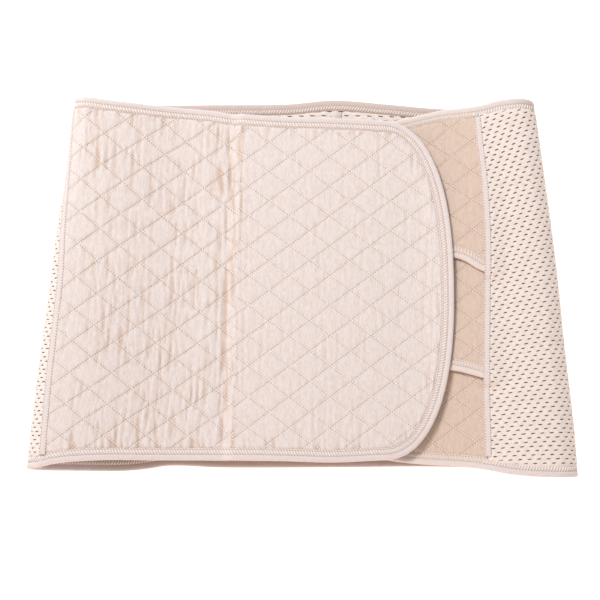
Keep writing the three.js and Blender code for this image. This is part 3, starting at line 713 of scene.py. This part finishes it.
channel_path, channel_run = resampled([(CENTRE_BACK, -138.0), (CENTRE_BACK, 152.0)], 4.0)
channel = swept("bone_channel", channel_path, channel_run, inward_of(channel_path),
                CHANNEL_SECTION, placed)
dressed(facing_out(channel), KNIT_COTTON, "knit_tape", "back_bone_channel")

# Bindings: knit cotton tape folded over an edge and sewn down with a coverstitch; the outer half
# is a plain soft roll and the inner half is drawn flat under the stitches.
STEP_ALONG = 2.0
# How far the panel's and the flap's bindings run on over their neighbours' ends
LAP = 5.0
FLAP_LAP = 3.5
# Heights of a binding's under and top side, round the panel, and its stitched band: where it
# starts and ends, and its two rows of needle stitches
PANEL_TAPE = (-0.2, WALL - 0.15)
BAND_START, BAND_END = 4.6, 9.1
NEEDLE_ROWS = (8.8, 4.7)


def binding_section(bottom, top):
    """Loop of (inward, height) points, starting where the top meets the cloth."""
    middle, half = (top + bottom) / 2, (top - bottom) / 2
    upper = [(9.8, 0.10), (9.75, 0.36), (9.2, 0.47), (8.8, 0.44), (8.4, 0.52), (6.8, 0.62),
             (5.2, 0.62), (4.7, 0.56), (4.2, 0.72), (3.4, 0.92), (2.2, 1.0), (1.1, 0.90),
             (0.35, 0.62), (0.0, 0.2)]
    lower = [(0.0, -0.3), (0.4, -0.75), (1.3, -0.95), (2.4, -1.0), (4.2, -0.94), (4.7, -0.84),
             (5.2, -0.94), (6.8, -1.0), (8.4, -0.94), (8.8, -0.84), (9.3, -0.85), (9.8, -0.45)]
    return [(reach, middle + half * level) for reach, level in upper + lower]


def gathers(run, section, seed, depth):
    """Small puckers along a binding, deepest on the roll and none on its underside."""
    random = np.random.default_rng(seed)
    waves = sum(random.uniform(0.4, 1.0) * np.sin(
        run / random.uniform(0.5, 1.6) + random.uniform(0, 6.3)) for _ in range(7)) / 2.6
    reach, height = np.array(section).T
    share = np.where(height > height.mean(), 1.0 - 0.35 * (reach > 4.8), 0.0)
    return depth * waves[:, None] * share


def binding(name, path, tape, place, seed, depth=0.2, shade_at=None):
    """Painted shade deepens the stitched band a little; shade_at(path) adds more painted shade to
    it all.
    """
    path, run = resampled(path, STEP_ALONG)
    section = binding_section(*tape)
    reach = np.array(section)[:, 0]
    # Painted shade: the stitched band between the coverstitch rows is deeper in colour, for the
    # shade between its threads.
    painted_shade = np.where((reach > BAND_START) & (reach < BAND_END), 0.35, 0)
    if shade_at:
        painted_shade = painted_shade + shade_at(path)[:, None]
    return swept(name, path, run, inward_of(path), section, place,
                 gathers(run, section, seed, depth), painted_shade)


def back_painted_shade(path):
    """Painted shade: the back's bindings, seen in shade inside the loop, are made browner than
    those of the front.
    """
    return 0.55 * np.clip((205 - np.abs(path[:, 0])) / 30, 0, 1)


def panel_binding(name, top, seed):
    """It runs on over the ends of the straps' bindings."""
    girth = np.linspace(panel_end(-1, 157.5 if top else -148.0) + 0.5,
                        panel_end(1, 151.5 if top else -149.5) + LAP, 600)
    path = side_by_side(girth, panel_edge(girth, top))
    return facing_out(binding(name, path[::-1] if top else path, PANEL_TAPE, on_panel, seed, 0.1,
                              back_painted_shade))


waist_binding = panel_binding("waist_binding", True, 3)
hip_binding = panel_binding("hip_binding", False, 4)
dressed(waist_binding, KNIT_COTTON, "knit_tape", "panel_top_binding")
dressed(hip_binding, KNIT_COTTON, "knit_tape", "panel_bottom_binding")

# Straps: diamond-quilted cotton, three of them, sewn to the right end of the mesh and reaching
# left under the flap; each lies on the strap below it like a shingle.
STRAP_END = -52.0
STRAP_CORNER = 20.0
SEAM_GAP = 0.4
STRAP_LOW = 1.7
STRAP_TAPE = (-0.1, 2.5)
# How far in from its edge a quilted sheet starts, inside the binding, and where the binding ends
SHEET_START, BINDING_END = 2.0, 9.2
DIAMOND_WIDTH, DIAMOND_HEIGHT = 33.3, 24.9
CROSSING = (6.5, -3.1)


def strap_outline(low, high):
    """The strap's bound edge, from the right seam round its hidden end and back to the seam."""
    end, corner = STRAP_END, STRAP_CORNER
    turn = np.radians(np.linspace(0, 90, 12))
    straight = np.linspace(end + corner, 158, 120)
    sides = []
    for edge, sign in ((low, -1), (high, 1)):
        level = edge(end + corner)
        corner_points = side_by_side(end + corner * (1 - np.cos(turn)),
                                     level - sign * corner * (1 - np.sin(turn)))
        run = side_by_side(straight, edge(straight))
        sides.append(np.vstack([corner_points, run[1:]]))
    outline = np.vstack([sides[1][::-1], sides[0]])
    return outline[outline[:, 0] < right_seam(outline[:, 1]) - SEAM_GAP]


def depth_inside(x, y, outline):
    """How far each place is from an outline."""
    places = side_by_side(x.ravel(), y.ravel())
    nearest = np.empty(len(places))
    for start in range(0, len(places), 4000):
        part = places[start:start + 4000, None] - outline[None]
        nearest[start:start + 4000] = np.sqrt((part ** 2).sum(-1).min(1))
    return nearest.reshape(x.shape)


def inside_outline(x, y, outline):
    """True for the places within an outline, by counting crossings to the left."""
    within = np.zeros(x.shape, bool)
    for a, b in zip(outline, np.roll(outline, -1, axis=0)):
        if a[1] != b[1]:
            spans = (a[1] > y) != (b[1] > y)
            within ^= spans & (x < (b[0] - a[0]) * (y - a[1]) / (b[1] - a[1]) + a[0])
    return within


def lattice(x, y):
    """Place in the quilting, in diamonds across and up from a crossing of its lines."""
    return (x - CROSSING[0]) / DIAMOND_WIDTH, (y - CROSSING[1]) / DIAMOND_HEIGHT


def puff(across, up):
    """1 in the middle of a diamond, 0 on its stitch lines."""
    return np.abs(np.sin(math.pi * (across + up)) * np.sin(math.pi * (across - up))) ** 0.42


def ripples(x, y, wave, length, seed):
    """Uneven puckers from -1 to 1 that run up and down, wave apart and about length long."""
    random = np.random.default_rng(seed)
    columns = random.uniform(-1, 1, (400, 400))
    return sampled(columns, smooth, x / wave * 2 + 150, y / length + 150)


def sampled(table, ease, u, v):
    """Reads a table between its places; u counts along its first axis."""
    u, v = np.clip(u, 0, table.shape[0] - 1.001), np.clip(v, 0, table.shape[1] - 1.001)
    i, j = np.floor(u).astype(int), np.floor(v).astype(int)
    fu, fv = ease(u - i), ease(v - j)
    return mix(mix(table[i, j], table[i + 1, j], fu),
               mix(table[i, j + 1], table[i + 1, j + 1], fu), fv)


# The quilting's own cloth simulation: a patch cut wider than its stitch lines, held along them
# and pressed up from below, so it puckers. It is run ten times full size, where cloth is steady.
PATCH_ACROSS, PATCH_UP = (-2.0, 4.0), (-6.0, 6.5)
STEPS_TO_DIAMOND = 24
SIM_METRES = 0.1
SIM_FRAMES = 14
SPARE_ACROSS, SPARE_UP = 1.08, 1.02


def sewn_patch():
    """Heights in millimetres over the patch, by across and up, after the cloth settles."""
    across = np.arange(*PATCH_ACROSS, 1 / STEPS_TO_DIAMOND)
    up = np.arange(*PATCH_UP, 1 / STEPS_TO_DIAMOND)
    across, up = np.meshgrid(across, up)
    i, j = np.indices(across.shape)
    line = ((i + j) % STEPS_TO_DIAMOND == 0) | ((i - j) % STEPS_TO_DIAMOND == 0)
    rim = (i == 0) | (j == 0) | (i == i.max()) | (j == j.max())
    x, y = across * DIAMOND_WIDTH, up * DIAMOND_HEIGHT
    start = np.where(line, 0.0, 0.6 + 0.55 * ripples(x, y, 5.0, 26.0, 5))
    points = side_by_side(x, y, start).reshape(-1, 3) * SIM_METRES
    patch = mesh_object("quilting_patch", points, grid_faces(*across.shape).tolist())
    sewn_down = patch.vertex_groups.new(name="sewn")
    sewn_down.add(np.flatnonzero(line | rim).tolist(), 1.0, "REPLACE")
    patch.shape_key_add(name="Basis")
    cut = patch.shape_key_add(name="cut")
    cut.data.foreach_set("co", (points * (SPARE_ACROSS, SPARE_UP, 1)).ravel())
    modifier = patch.modifiers.new("cloth", "CLOTH")
    cloth = modifier.settings
    cloth.vertex_group_mass = "sewn"
    cloth.rest_shape_key = cut
    cloth.quality = 5
    cloth.mass = 0.15
    cloth.air_damping = 2.0
    cloth.tension_stiffness = cloth.compression_stiffness = 15
    cloth.shear_stiffness = 8
    cloth.bending_stiffness = 4.0
    cloth.use_pressure = True
    cloth.uniform_pressure_force = 1.2
    cloth.effector_weights.gravity = 0
    modifier.collision_settings.use_collision = False
    modifier.point_cache.frame_start, modifier.point_cache.frame_end = 1, SIM_FRAMES
    for frame_number in range(1, SIM_FRAMES + 1):
        bpy.context.scene.frame_set(frame_number)
    settled = patch.evaluated_get(bpy.context.evaluated_depsgraph_get())
    places = np.empty(len(points) * 3, np.float32)
    settled.data.vertices.foreach_get("co", places)
    bpy.data.objects.remove(patch)
    bpy.context.scene.frame_set(1)
    return places.reshape(-1, 3)[:, 2].reshape(across.shape) / SIM_METRES


def softened(heights, reach):
    """Heights averaged over a few steps across."""
    shifted = [np.roll(heights, k, axis=1) for k in range(-reach, reach + 1)]
    return sum(shifted) / len(shifted)


PATCH = sewn_patch()
PATCH_PUCKERS = PATCH - softened(PATCH, 3)


def quilting(x, y, across, up):
    """The swell of the diamonds, a flat top from 0 to 1 with steep sides, and their puckers."""
    fine = ripples(x, y, 3.4, 13.0, 21) * smooth(ripples(x, y, 30.0, 40.0, 22) + 0.45)
    if PATCH is None:
        swell = puff(across, up)
        return swell, swell * fine
    u = (up - PATCH_UP[0]) * STEPS_TO_DIAMOND
    v = (across - PATCH_ACROSS[0]) * STEPS_TO_DIAMOND
    swell = 1 - np.exp(-np.maximum(sampled(PATCH, lambda t: t, u, v), 0) / 0.35)
    return swell, swell * (0.6 * fine + 1.4 * sampled(PATCH_PUCKERS, lambda t: t, u, v))


def seam_points(seam, low, high):
    """Places along a seam, just inside it."""
    y = np.linspace(low, high, 60)
    return side_by_side(seam(y), y)


def quilted_sheet(name, outline, seam_line, height_at, lattice_at, place, step, edge_height):
    """A quilted cloth between a bound edge and a seam: its face is at height_at, and it thins
    into its binding. Its place in the quilting is stored for the creases along the lines."""
    whole = np.vstack([outline, seam_line])
    x0, y0 = whole.min(0)
    x1, y1 = whole.max(0)
    across, up = step
    x, y = np.meshgrid(np.arange(x0, x1 + across, across), np.arange(y0, y1 + up, up))
    depth = np.where(inside_outline(x, y, whole), depth_inside(x, y, outline), -1)
    # height_at also gives each place's painted shade.
    height, painted_shade = height_at(x, y, depth)
    height = mix(edge_height, height, smooth((depth - BINDING_END) / 1.4))
    made = mesh_object(name, place(x, y, height), kept_faces(depth > SHEET_START))
    lay_flat(made, (side_by_side(x, y).reshape(-1, 2) / 1000)[loop_corners(made)])
    store_painted_shade(made, painted_shade)
    stored = made.data.attributes.new("lattice", "FLOAT_VECTOR", "POINT")
    lattice_places = side_by_side(*lattice_at(x, y), 0 * x)
    stored.data.foreach_set("vector", lattice_places.astype(np.float32).ravel())
    drop_loose_points(made)
    made.data.shade_smooth()
    return made


def kept_faces(kept):
    """Quads of a grid whose four points are all kept."""
    rows, columns = kept.shape
    whole = kept[:-1, :-1] & kept[1:, :-1] & kept[:-1, 1:] & kept[1:, 1:]
    return grid_faces(rows, columns, whole).tolist()


def drop_loose_points(made):
    work = bmesh.new()
    work.from_mesh(made.data)
    bmesh.ops.delete(work, geom=[v for v in work.verts if not v.link_faces], context="VERTS")
    work.to_mesh(made.data)
    work.free()


CREASE_WIDTH = 0.8
CREASE_DEPTH = 0.2


def stitch_creases():
    """Creases along the lines of the quilting: 0 on a line, and 1 from a crease's width off it."""
    group, given, made = shader_group(
        "stitch_creases", [("Lattice", "Vector", None)], [("Height", "Float")])
    place = add_node(group, "ShaderNodeSeparateXYZ", {0: given["Lattice"]}).outputs
    spacing = 1 / math.hypot(1 / DIAMOND_WIDTH, 1 / DIAMOND_HEIGHT)
    rising, falling = (
        arithmetic(group, "PINGPONG", arithmetic(group, way, place["X"], place["Y"]), 0.5)
        for way in ("ADD", "SUBTRACT"))
    nearest = arithmetic(group, "MINIMUM", rising, falling)
    share = arithmetic(group, "MULTIPLY", nearest, spacing / CREASE_WIDTH)
    group.links.new(arithmetic(group, "MINIMUM", share, 1.0), made["Height"])
    return group


STITCH_CREASES = stitch_creases()


def creased(material):
    """Adds the creases to a quilted cloth's material, over its knitting."""
    tree = material.node_tree
    shader = tree.nodes["Principled BSDF"]
    knitted = shader.inputs["Normal"].links[0].from_socket
    stored = add_node(tree, "ShaderNodeAttribute", attribute_name="lattice").outputs["Vector"]
    creases = output(tree, "ShaderNodeGroup", {"Lattice": stored}, node_tree=STITCH_CREASES)
    bump = output(tree, "ShaderNodeBump", {
        "Height": creases, "Normal": knitted, "Strength": 1.0,
        "Distance": CREASE_DEPTH / 1000})
    tree.links.new(bump, shader.inputs["Normal"])
    return material


QUILTED_COTTON = creased(knit(
    "quilted_cotton", (0.765, 0.69, 0.67), (0.60, 0.45, 0.36), 0.42, 0.6, 0.5, 0.15))
# The straps are the flap's quilted cotton, painted deeper and tanner: painted shade for the shade
# they lie in under the raised flap.
STRAP_COTTON_SHADED = creased(knit(
    "strap_cotton_painted_shade", (0.685, 0.54, 0.45), (0.50, 0.35, 0.26), 0.4, 0.6, 0.5, 0.15))
STRAP_KNIT = knit("strap_knit", (0.75, 0.655, 0.62), (0.62, 0.47, 0.39), 0.25, 0.75, 0.6, 0.2)


def dress_strap(name, low, high, rides, seed):
    """One strap between its low and high edges; rides says whether it lies on another."""
    outline = strap_outline(low, high)

    def on_strap(x, y, h):
        x, y, h = np.broadcast_arrays(x, y, h)
        lift = OVERLAP_LIFT * (high(x) - y) / (high(x) - low(x)) if rides else 0.0
        return on_front(x, y, h + lift)

    def face(x, y, depth):
        across, up = lattice(x, y)
        swell, puckers = quilting(x, y, 3 - across, up)
        # Painted shade: the colour deepens on the stitch lines and in the hollows of the puckers.
        return STRAP_LOW + 0.5 * swell + 0.35 * puckers, 0.4 * (0.5 - swell) - 0.5 * puckers

    def back(x, y, depth):
        return 0.25 * (1 - puff(*lattice(x, y))), 0 * x

    dense, _ = resampled(outline, 2.0)
    seam_line = seam_points(lambda y: right_seam(y) - SEAM_GAP, low(150.0), high(145.0))
    top = quilted_sheet(f"{name}_face", dense, seam_line, face, lattice, on_strap, (1.0, 1.6), 1.1)
    under = quilted_sheet(f"{name}_lining", dense, seam_line, back, lattice, on_strap, (3.0, 3.0),
                          0.8)
    under.data.flip_normals()
    dressed(top, STRAP_COTTON_SHADED, "quilted_cotton", name)
    dressed(under, STRAP_COTTON_SHADED, "quilted_cotton")
    edge = binding(f"{name}_edge", outline, STRAP_TAPE, on_strap, seed)
    dressed(facing_out(edge), STRAP_KNIT, "knit_tape", f"{name}_binding")
    return top, under, edge, outline


upper = dress_strap("upper_strap", strap_edge(2), strap_edge(1), True, 11)
middle = dress_strap("middle_strap", strap_edge(3), strap_edge(2, OVERLAP), True, 12)
lower = dress_strap("lower_strap", strap_edge(4), strap_edge(3, OVERLAP), False, 13)

# Front flap: the same quilted cotton, sewn to the left end of the mesh and lying over the
# straps; it drops in a crease just left of their ends, and its right end is rounded.
FLAP_LIFT = 6.9
FLAP_LIFT_LEFT = 1.2
QUILT_LOW = 2.2
FLAP_TAPE = (-0.1, 3.2)
FLAP_END_LENGTH = 60.5
FLAP_END_POWER = 2.4

# x, waist edge and hip edge, left to right as far as the rounded end
FLAP_EDGE = np.array([
    (-212, 160.6, -148.6), (-197, 160.0, -145.0), (-180, 158.0, -143.0), (-157, 155.0, -141.8),
    (-118, 152.6, -141.3), (-81, 150.6, -141.1), (-50, 146.0, -141.4), (-17, 143.5, -142.0),
    (25, 142.3, -143.1), (63, 140.4, -141.4),
])
# Quilting left of the crease: y of each row of crossings, x of one column of them, and the row
LEFT_GRID = np.array([(-135.0, -176.5, -5), (-109.6, -174.4, -4), (-84.7, -170.9, -3),
                      (-59.1, -169.1, -2), (-33.3, -167.4, -1), (-7.4, -165.9, 0),
                      (19.7, -165.6, 1), (46.6, -165.0, 2), (73.3, -164.3, 3),
                      (100.4, -163.6, 4), (126.4, -162.4, 5), (152.6, -161.2, 6)])
LEFT_WIDTH = 33.3


def crease(y):
    """x of the crease where the flap drops off the ends of the straps."""
    return mix(-56.7, -49.6, (y + 140.0) / 280.0)


def flap_outline():
    straight = np.arange(-218.0, 63.0, 1.0)
    angles = np.radians(np.linspace(90, 0, 90))
    end_x, end_top, end_bottom = FLAP_EDGE[-1]
    middle, half = (end_top + end_bottom) / 2, (end_top - end_bottom) / 2
    power = 2 / FLAP_END_POWER
    x = end_x + FLAP_END_LENGTH * np.cos(angles) ** power
    bulge = half * np.abs(np.sin(angles)) ** power
    low, high = (side_by_side(straight, read(FLAP_EDGE, column, straight)) for column in (2, 1))
    low, high = (edge[edge[:, 0] > left_seam(edge[:, 1]) + SEAM_GAP] for edge in (low, high))
    low_end, high_end = side_by_side(x, middle - bulge), side_by_side(x, middle + bulge)
    return np.vstack([low, low_end, high_end[-2::-1], high[::-1]])


def on_flap(x, y, h):
    x, y, h = np.broadcast_arrays(x, y, h)
    left = mix(0, FLAP_LIFT_LEFT, smooth((x - crest(-1, y)) / 60))
    lift = mix(left, FLAP_LIFT, smooth((x - crease(y) + 9.0) / 10.0))
    return on_front(x, y, h + lift)


def row_tilt(y):
    """Slope of the rows of crossings left of the crease."""
    return np.interp(y, [-110, -7, 126], [-0.012, 0.0, 0.057])


def flap_lattice(x, y):
    """Place in the quilting; its lines don't meet across the crease."""
    left_across = (x - read(LEFT_GRID, 1, y)) / LEFT_WIDTH
    left_up = read(LEFT_GRID, 2, y + row_tilt(y) * LEFT_WIDTH * left_across)
    across, up = lattice(x, y)
    left = x < crease(y)
    return np.where(left, 2 - left_across, across), np.where(left, left_up, up)


def flap_face(x, y, depth):
    """Puckers are deepest left of the crease and just inside the binding."""
    swell, puckers = quilting(x, y, *flap_lattice(x, y))
    near_crease = np.exp(-((x - crease(y) + 7.0) / 13.0) ** 2)
    near_edge = np.exp(-np.maximum(depth - 10.0, 0) / 7.0)
    drawn = ripples(x, y, 4.2, 18.0, 23) * near_edge + ripples(x, y, 5.0, 30.0, 24) * near_crease
    strength = np.where(x < crease(y), 0.95, 0.42) * smooth((x - left_seam(y) - 3.0) / 14.0)
    puckers = strength * puckers + 0.8 * np.sqrt(swell) * drawn
    # Painted shade: the colour deepens along the crease, in the hollows of the puckers and on the
    # stitch lines; left of the crease it is also a little deeper throughout.
    deeper_by_crease = np.where(x < crease(y), 0.10, 0.0) + 0.08 * near_crease
    return (QUILT_LOW + 0.75 * swell + puckers,
            deeper_by_crease - 1.3 * puckers + 0.3 * (0.4 - swell))


FLAP_PATH = flap_outline()
flap_dense, _ = resampled(FLAP_PATH, 2.0)
FLAP_SEAM = seam_points(lambda y: left_seam(y) + SEAM_GAP, 160.2, -148.0)
flap = quilted_sheet("flap_face", flap_dense, FLAP_SEAM, flap_face, flap_lattice, on_flap,
                     (0.8, 1.5), 1.5)
dressed(flap, QUILTED_COTTON, "quilted_cotton", "front_flap")
flap_under = quilted_sheet("flap_lining", flap_dense, FLAP_SEAM,
                           lambda x, y, depth: (0.3 * (1 - puff(*flap_lattice(x, y))), 0 * x),
                           flap_lattice, on_flap, (3.0, 3.0), 1.0)
flap_under.data.flip_normals()
dressed(flap_under, QUILTED_COTTON, "quilted_cotton")
FLAP_ENDS = [FLAP_PATH[end] - (FLAP_LAP, 0) for end in (0, -1)]
flap_edge = binding("flap_edge", np.vstack([FLAP_ENDS[0], FLAP_PATH, FLAP_ENDS[1]]), FLAP_TAPE,
                    on_flap, 31)
dressed(facing_out(flap_edge), KNIT_COTTON, "knit_tape", "flap_binding")

# Seam tapes: narrow knit tape over each end of the mesh, stitched along both edges.
TAPE_SECTION = [(-2.5, 1.6), (-2.4, 3.4), (-2.1, 3.65), (-1.5, 3.6), (0.0, 3.85), (1.5, 3.6),
                (2.1, 3.65), (2.4, 3.4), (2.5, 1.6)]


def seam_tape(name, seam, low, high, place):
    y = np.linspace(low, high, 150)
    path = side_by_side(seam(y), y)
    return swept(name, path, y - low, inward_of(path), TAPE_SECTION, place)


right_tape = seam_tape("right_tape", right_seam, -138.8, 140.6,
                       lambda x, y, h: on_front(x, y, h + tape_hump(right_seam(y), y)))
left_tape = seam_tape("left_tape", left_seam, -137.8, 149.8, on_front)
dressed(facing_out(right_tape), KNIT_COTTON, "knit_tape", "right_seam_tape")
dressed(facing_out(left_tape), KNIT_COTTON, "knit_tape", "left_seam_tape")


# Stitching: pale thread through every line of quilting, tape edge and binding. Each needle hole
# is a flat brown oval beside the thread, painted shade of the hole; a coverstitch crosses between
# its two rows.
STITCH_PITCH = 2.3
THREAD = plain_material("thread", (0.90, 0.85, 0.82), 0.7)
# The straps' thread is painted darker in the same way: painted shade.
STRAP_THREAD_SHADED = plain_material("strap_thread_painted_shade", (0.84, 0.74, 0.68), 0.7)
# Needle holes are flat dark ovals: painted shade, the shade inside each hole.
NEEDLE_HOLE_SHADE = plain_material("needle_hole_shade", (0.50, 0.30, 0.18), 0.95)


def thread_piece(name, length, width, turn=0.0, aside=0.0):
    """One visible stitch: a short rounded thread, turned and moved aside on the cloth."""
    half, side = length / 2, width / 2
    ring = [(0, side, 0), (0, 0, side), (0, -side, 0), (0, 0, -side)]
    points = [(-half, 0, 0)]
    points += [(-half * 0.6 + x, y, z) for x, y, z in ring]
    points += [(half * 0.6 + x, y, z) for x, y, z in ring]
    points.append((half, 0, 0))
    faces = [(0, 1 + (k + 1) % 4, 1 + k) for k in range(4)]
    faces += [(1 + k, 1 + (k + 1) % 4, 5 + (k + 1) % 4, 5 + k) for k in range(4)]
    faces += [(9, 5 + k, 5 + (k + 1) % 4) for k in range(4)]
    c, s = math.cos(turn), math.sin(turn)
    turned = [(x * c - y * s, x * s + y * c + aside, z + side * 0.4) for x, y, z in points]
    return mesh_object(name, np.array(turned) / 1000, faces)


def hole_piece(name, length, width, ahead=0.0, aside=0.0):
    """One needle hole, a small dark oval just over the cloth: painted shade of the hole."""
    angles = np.radians(np.arange(0, 360, 60))
    points = [(ahead + length / 2 * math.cos(a), aside + width / 2 * math.sin(a), 0.08)
              for a in angles]
    return mesh_object(name, np.array(points) / 1000, [tuple(range(6))])


def stitches_tree():
    """Copies of a stitch at equal steps along flat lines, turned with them, laid on a cloth."""
    tree, given = new_tree("stitches", {
        "Cloth": "Object", "Stitch": "Object", "Pitch": "Float", "Material": "Material"})
    curve = output(tree, "GeometryNodeMeshToCurve", {0: given["Geometry"]})
    spots = add_node(tree, "GeometryNodeCurveToPoints", {
        "Curve": curve, "Length": given["Pitch"]}, mode="LENGTH")
    turned = output(tree, "FunctionNodeAlignRotationToVector", {
        "Vector": spots.outputs["Tangent"]}, axis="X", pivot_axis="Z")
    made = copied(tree, spots.outputs["Points"], given["Stitch"], Rotation=turned)
    cloth = add_node(tree, "GeometryNodeObjectInfo", {
        "Object": given["Cloth"]}).outputs["Geometry"]
    laid_on_cloth(tree, made, cloth, given["Material"])
    return tree


STITCHES = stitches_tree()
STITCH_THREAD = thread_piece("stitch_thread", 1.4, 0.52)
QUILTING_THREAD = thread_piece("quilting_thread", 2.0, 0.75, aside=-0.42)
CROSS_THREAD = thread_piece("cross_thread", 4.3, 0.85, math.radians(62))
QUILTING_HOLE = hole_piece("quilting_hole", 0.85, 0.58, STITCH_PITCH / 2, 0.3)
TAPE_HOLE = hole_piece("tape_hole", 0.95, 0.75)
EDGE_HOLE = hole_piece("edge_hole", 1.1, 0.85, STITCH_PITCH / 2)


def line_object(name, lines):
    """Flat lines in millimetres as one object of edges."""
    points, edges = [], []
    for line in lines:
        start = len(points)
        points += [(x / 1000, y / 1000, 0.0) for x, y in line]
        edges += [(k, k + 1) for k in range(start, len(points) - 1)]
    mesh = bpy.data.meshes.new(name)
    mesh.from_pydata(points, edges, [])
    made = bpy.data.objects.new(name, mesh)
    bpy.context.scene.collection.objects.link(made)
    return made


def sewn(name, cloth, lines, stitch, material, slot="quilted_cotton"):
    """Stitches of one kind along flat lines of a cloth, as one piece."""
    made = grown(name, line_object(name + "_lines", lines), STITCHES, {
        "Cloth": cloth, "Stitch": stitch, "Pitch": STITCH_PITCH / 1000, "Material": material})
    dressed(made, material, slot)


def runs_inside(line, keep):
    """The stretches of a line whose points are kept."""
    found, current = [], []
    for point, kept in [*zip(line, keep), (None, False)]:
        if kept:
            current.append(point)
        else:
            found += [current] if len(current) > 1 else []
            current = []
    return found


def quilting_lines(place_at, keep, reach=14):
    """Both sets of quilting lines, from their whole numbers to flat places, where keep is true.
    They run up to the left and up to the right."""
    lines = []
    along = np.arange(-2 * reach, 2 * reach, 0.05)
    for k in range(-2 * reach, 2 * reach):
        for across, up in (((k - along) / 2, (k + along) / 2), ((k + along) / 2, (along - k) / 2)):
            x, y = place_at(across, up)
            lines += runs_inside(list(zip(x, y)), keep(x, y))
    return lines


def right_place(across, up):
    return CROSSING[0] + DIAMOND_WIDTH * across, CROSSING[1] + DIAMOND_HEIGHT * up


def left_place(across, up):
    y = level = read(LEFT_GRID[:, [2, 0]], 1, up)
    for _ in range(4):
        y = level - row_tilt(y) * LEFT_WIDTH * across
    return read(LEFT_GRID, 1, y) + LEFT_WIDTH * across, y


def in_box(x, y, x0, x1, y0, y1):
    return (x > x0) & (x < x1) & (y > y0) & (y < y1)


flap_lines = quilting_lines(
    right_place, lambda x, y: (x > crease(y)) & in_box(x, y, -60, 124, -150, 160))
flap_lines += quilting_lines(
    left_place, lambda x, y: (x < crease(y)) & in_box(x, y, -215, -48, -150, 160))
sewn("flap_quilting_thread", flap, flap_lines, QUILTING_THREAD, THREAD)
sewn("flap_quilting_holes", flap, flap_lines, QUILTING_HOLE, NEEDLE_HOLE_SHADE)
for name, strap, low, high in (("upper", upper, 8, 155), ("middle", middle, -80, 32),
                               ("lower", lower, -152, -60)):
    lines = quilting_lines(right_place, lambda x, y: in_box(x, y, 84, 152, low, high))
    sewn(f"{name}_strap_quilting_thread", strap[0], lines, QUILTING_THREAD, STRAP_THREAD_SHADED)
    sewn(f"{name}_strap_quilting_holes", strap[0], lines, QUILTING_HOLE, NEEDLE_HOLE_SHADE)


def arc_at(section, reach, side):
    """How far round a binding's section its top or under side reaches a distance from the edge."""
    points = np.array(section)
    arc = run_along(points)
    sign = np.sign(points[side][-1, 0] - points[side][0, 0])
    return float(np.interp(sign * reach, sign * points[side, 0], arc[side]))


TOP_SIDE, UNDER_SIDE = slice(0, 14), slice(14, 26)


def row_along(length, v):
    """A line along a tape, v round its section. What runs past the tape's end gets no stitches."""
    return [(u, v) for u in np.arange(1.0, length, 4.0)]


def coverstitch(name, cloth, tape, length, thread, *sides):
    """Two rows of needle stitches and the threads that cross between them, on each side given."""
    holes, threads = [], []
    for side in sides:
        rows = [arc_at(binding_section(*tape), reach, side) for reach in NEEDLE_ROWS]
        holes += [row_along(length, v) for v in rows]
        threads.append(row_along(length, sum(rows) / 2))
    sewn(f"{name}_holes", cloth, holes, TAPE_HOLE, NEEDLE_HOLE_SHADE, "knit_tape")
    sewn(f"{name}_threads", cloth, threads, CROSS_THREAD, thread, "knit_tape")


def edge_rows(name, cloth, section, top, reach, length):
    """A row of stitches near each edge of a tape; top is the part of its section that shows."""
    rows = [row_along(length, arc_at(section, v, top)) for v in (-reach, reach)]
    sewn(f"{name}_threads", cloth, rows, STITCH_THREAD, THREAD, "knit_tape")
    sewn(f"{name}_holes", cloth, rows, EDGE_HOLE, NEEDLE_HOLE_SHADE, "knit_tape")


coverstitch("flap_coverstitch", flap_edge, FLAP_TAPE, 960.0, THREAD, TOP_SIDE)
for name, strap in (("upper", upper), ("middle", middle), ("lower", lower)):
    coverstitch(f"{name}_strap_coverstitch", strap[2], STRAP_TAPE, 560.0, STRAP_THREAD_SHADED, TOP_SIDE)
edge_rows("right_tape_rows", right_tape, TAPE_SECTION, slice(1, 8), 2.0, 278.0)
edge_rows("left_tape_rows", left_tape, TAPE_SECTION, slice(1, 8), 2.0, 284.0)
edge_rows("bone_channel_rows", channel, CHANNEL_SECTION, slice(2, 11), 4.1, 289.0)
for name, tape in (("waist", waist_binding), ("hip", hip_binding)):
    coverstitch(f"{name}_coverstitch", tape, PANEL_TAPE, 760.0, THREAD, TOP_SIDE, UNDER_SIDE)
for helper in (STITCH_THREAD, QUILTING_THREAD, CROSS_THREAD, QUILTING_HOLE, TAPE_HOLE, EDGE_HOLE):
    bpy.data.objects.remove(helper)

# Hook patch: a square of stiff hook tape sewn under the flap's end; it presses into the straps.
HOOK_TAPE = plain_material("hook_tape", (0.72, 0.62, 0.55), 0.6)
hook_nodes = HOOK_TAPE.node_tree
hook_place = add_node(hook_nodes, "ShaderNodeTexCoord").outputs["Object"]
hook_rows = output(hook_nodes, "ShaderNodeTexVoronoi", {
    "Vector": hook_place, "Scale": 700.0, "Randomness": 0.15})
hook_bump = output(hook_nodes, "ShaderNodeBump", {
    "Height": hook_rows, "Strength": 0.9, "Distance": 0.0008})
hook_nodes.links.new(hook_bump, hook_nodes.nodes["Principled BSDF"].inputs["Normal"])
hook_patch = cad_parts["flap_hook_patch"]
hook_patch.data.materials.clear()
hook_patch.data.materials.append(HOOK_TAPE)
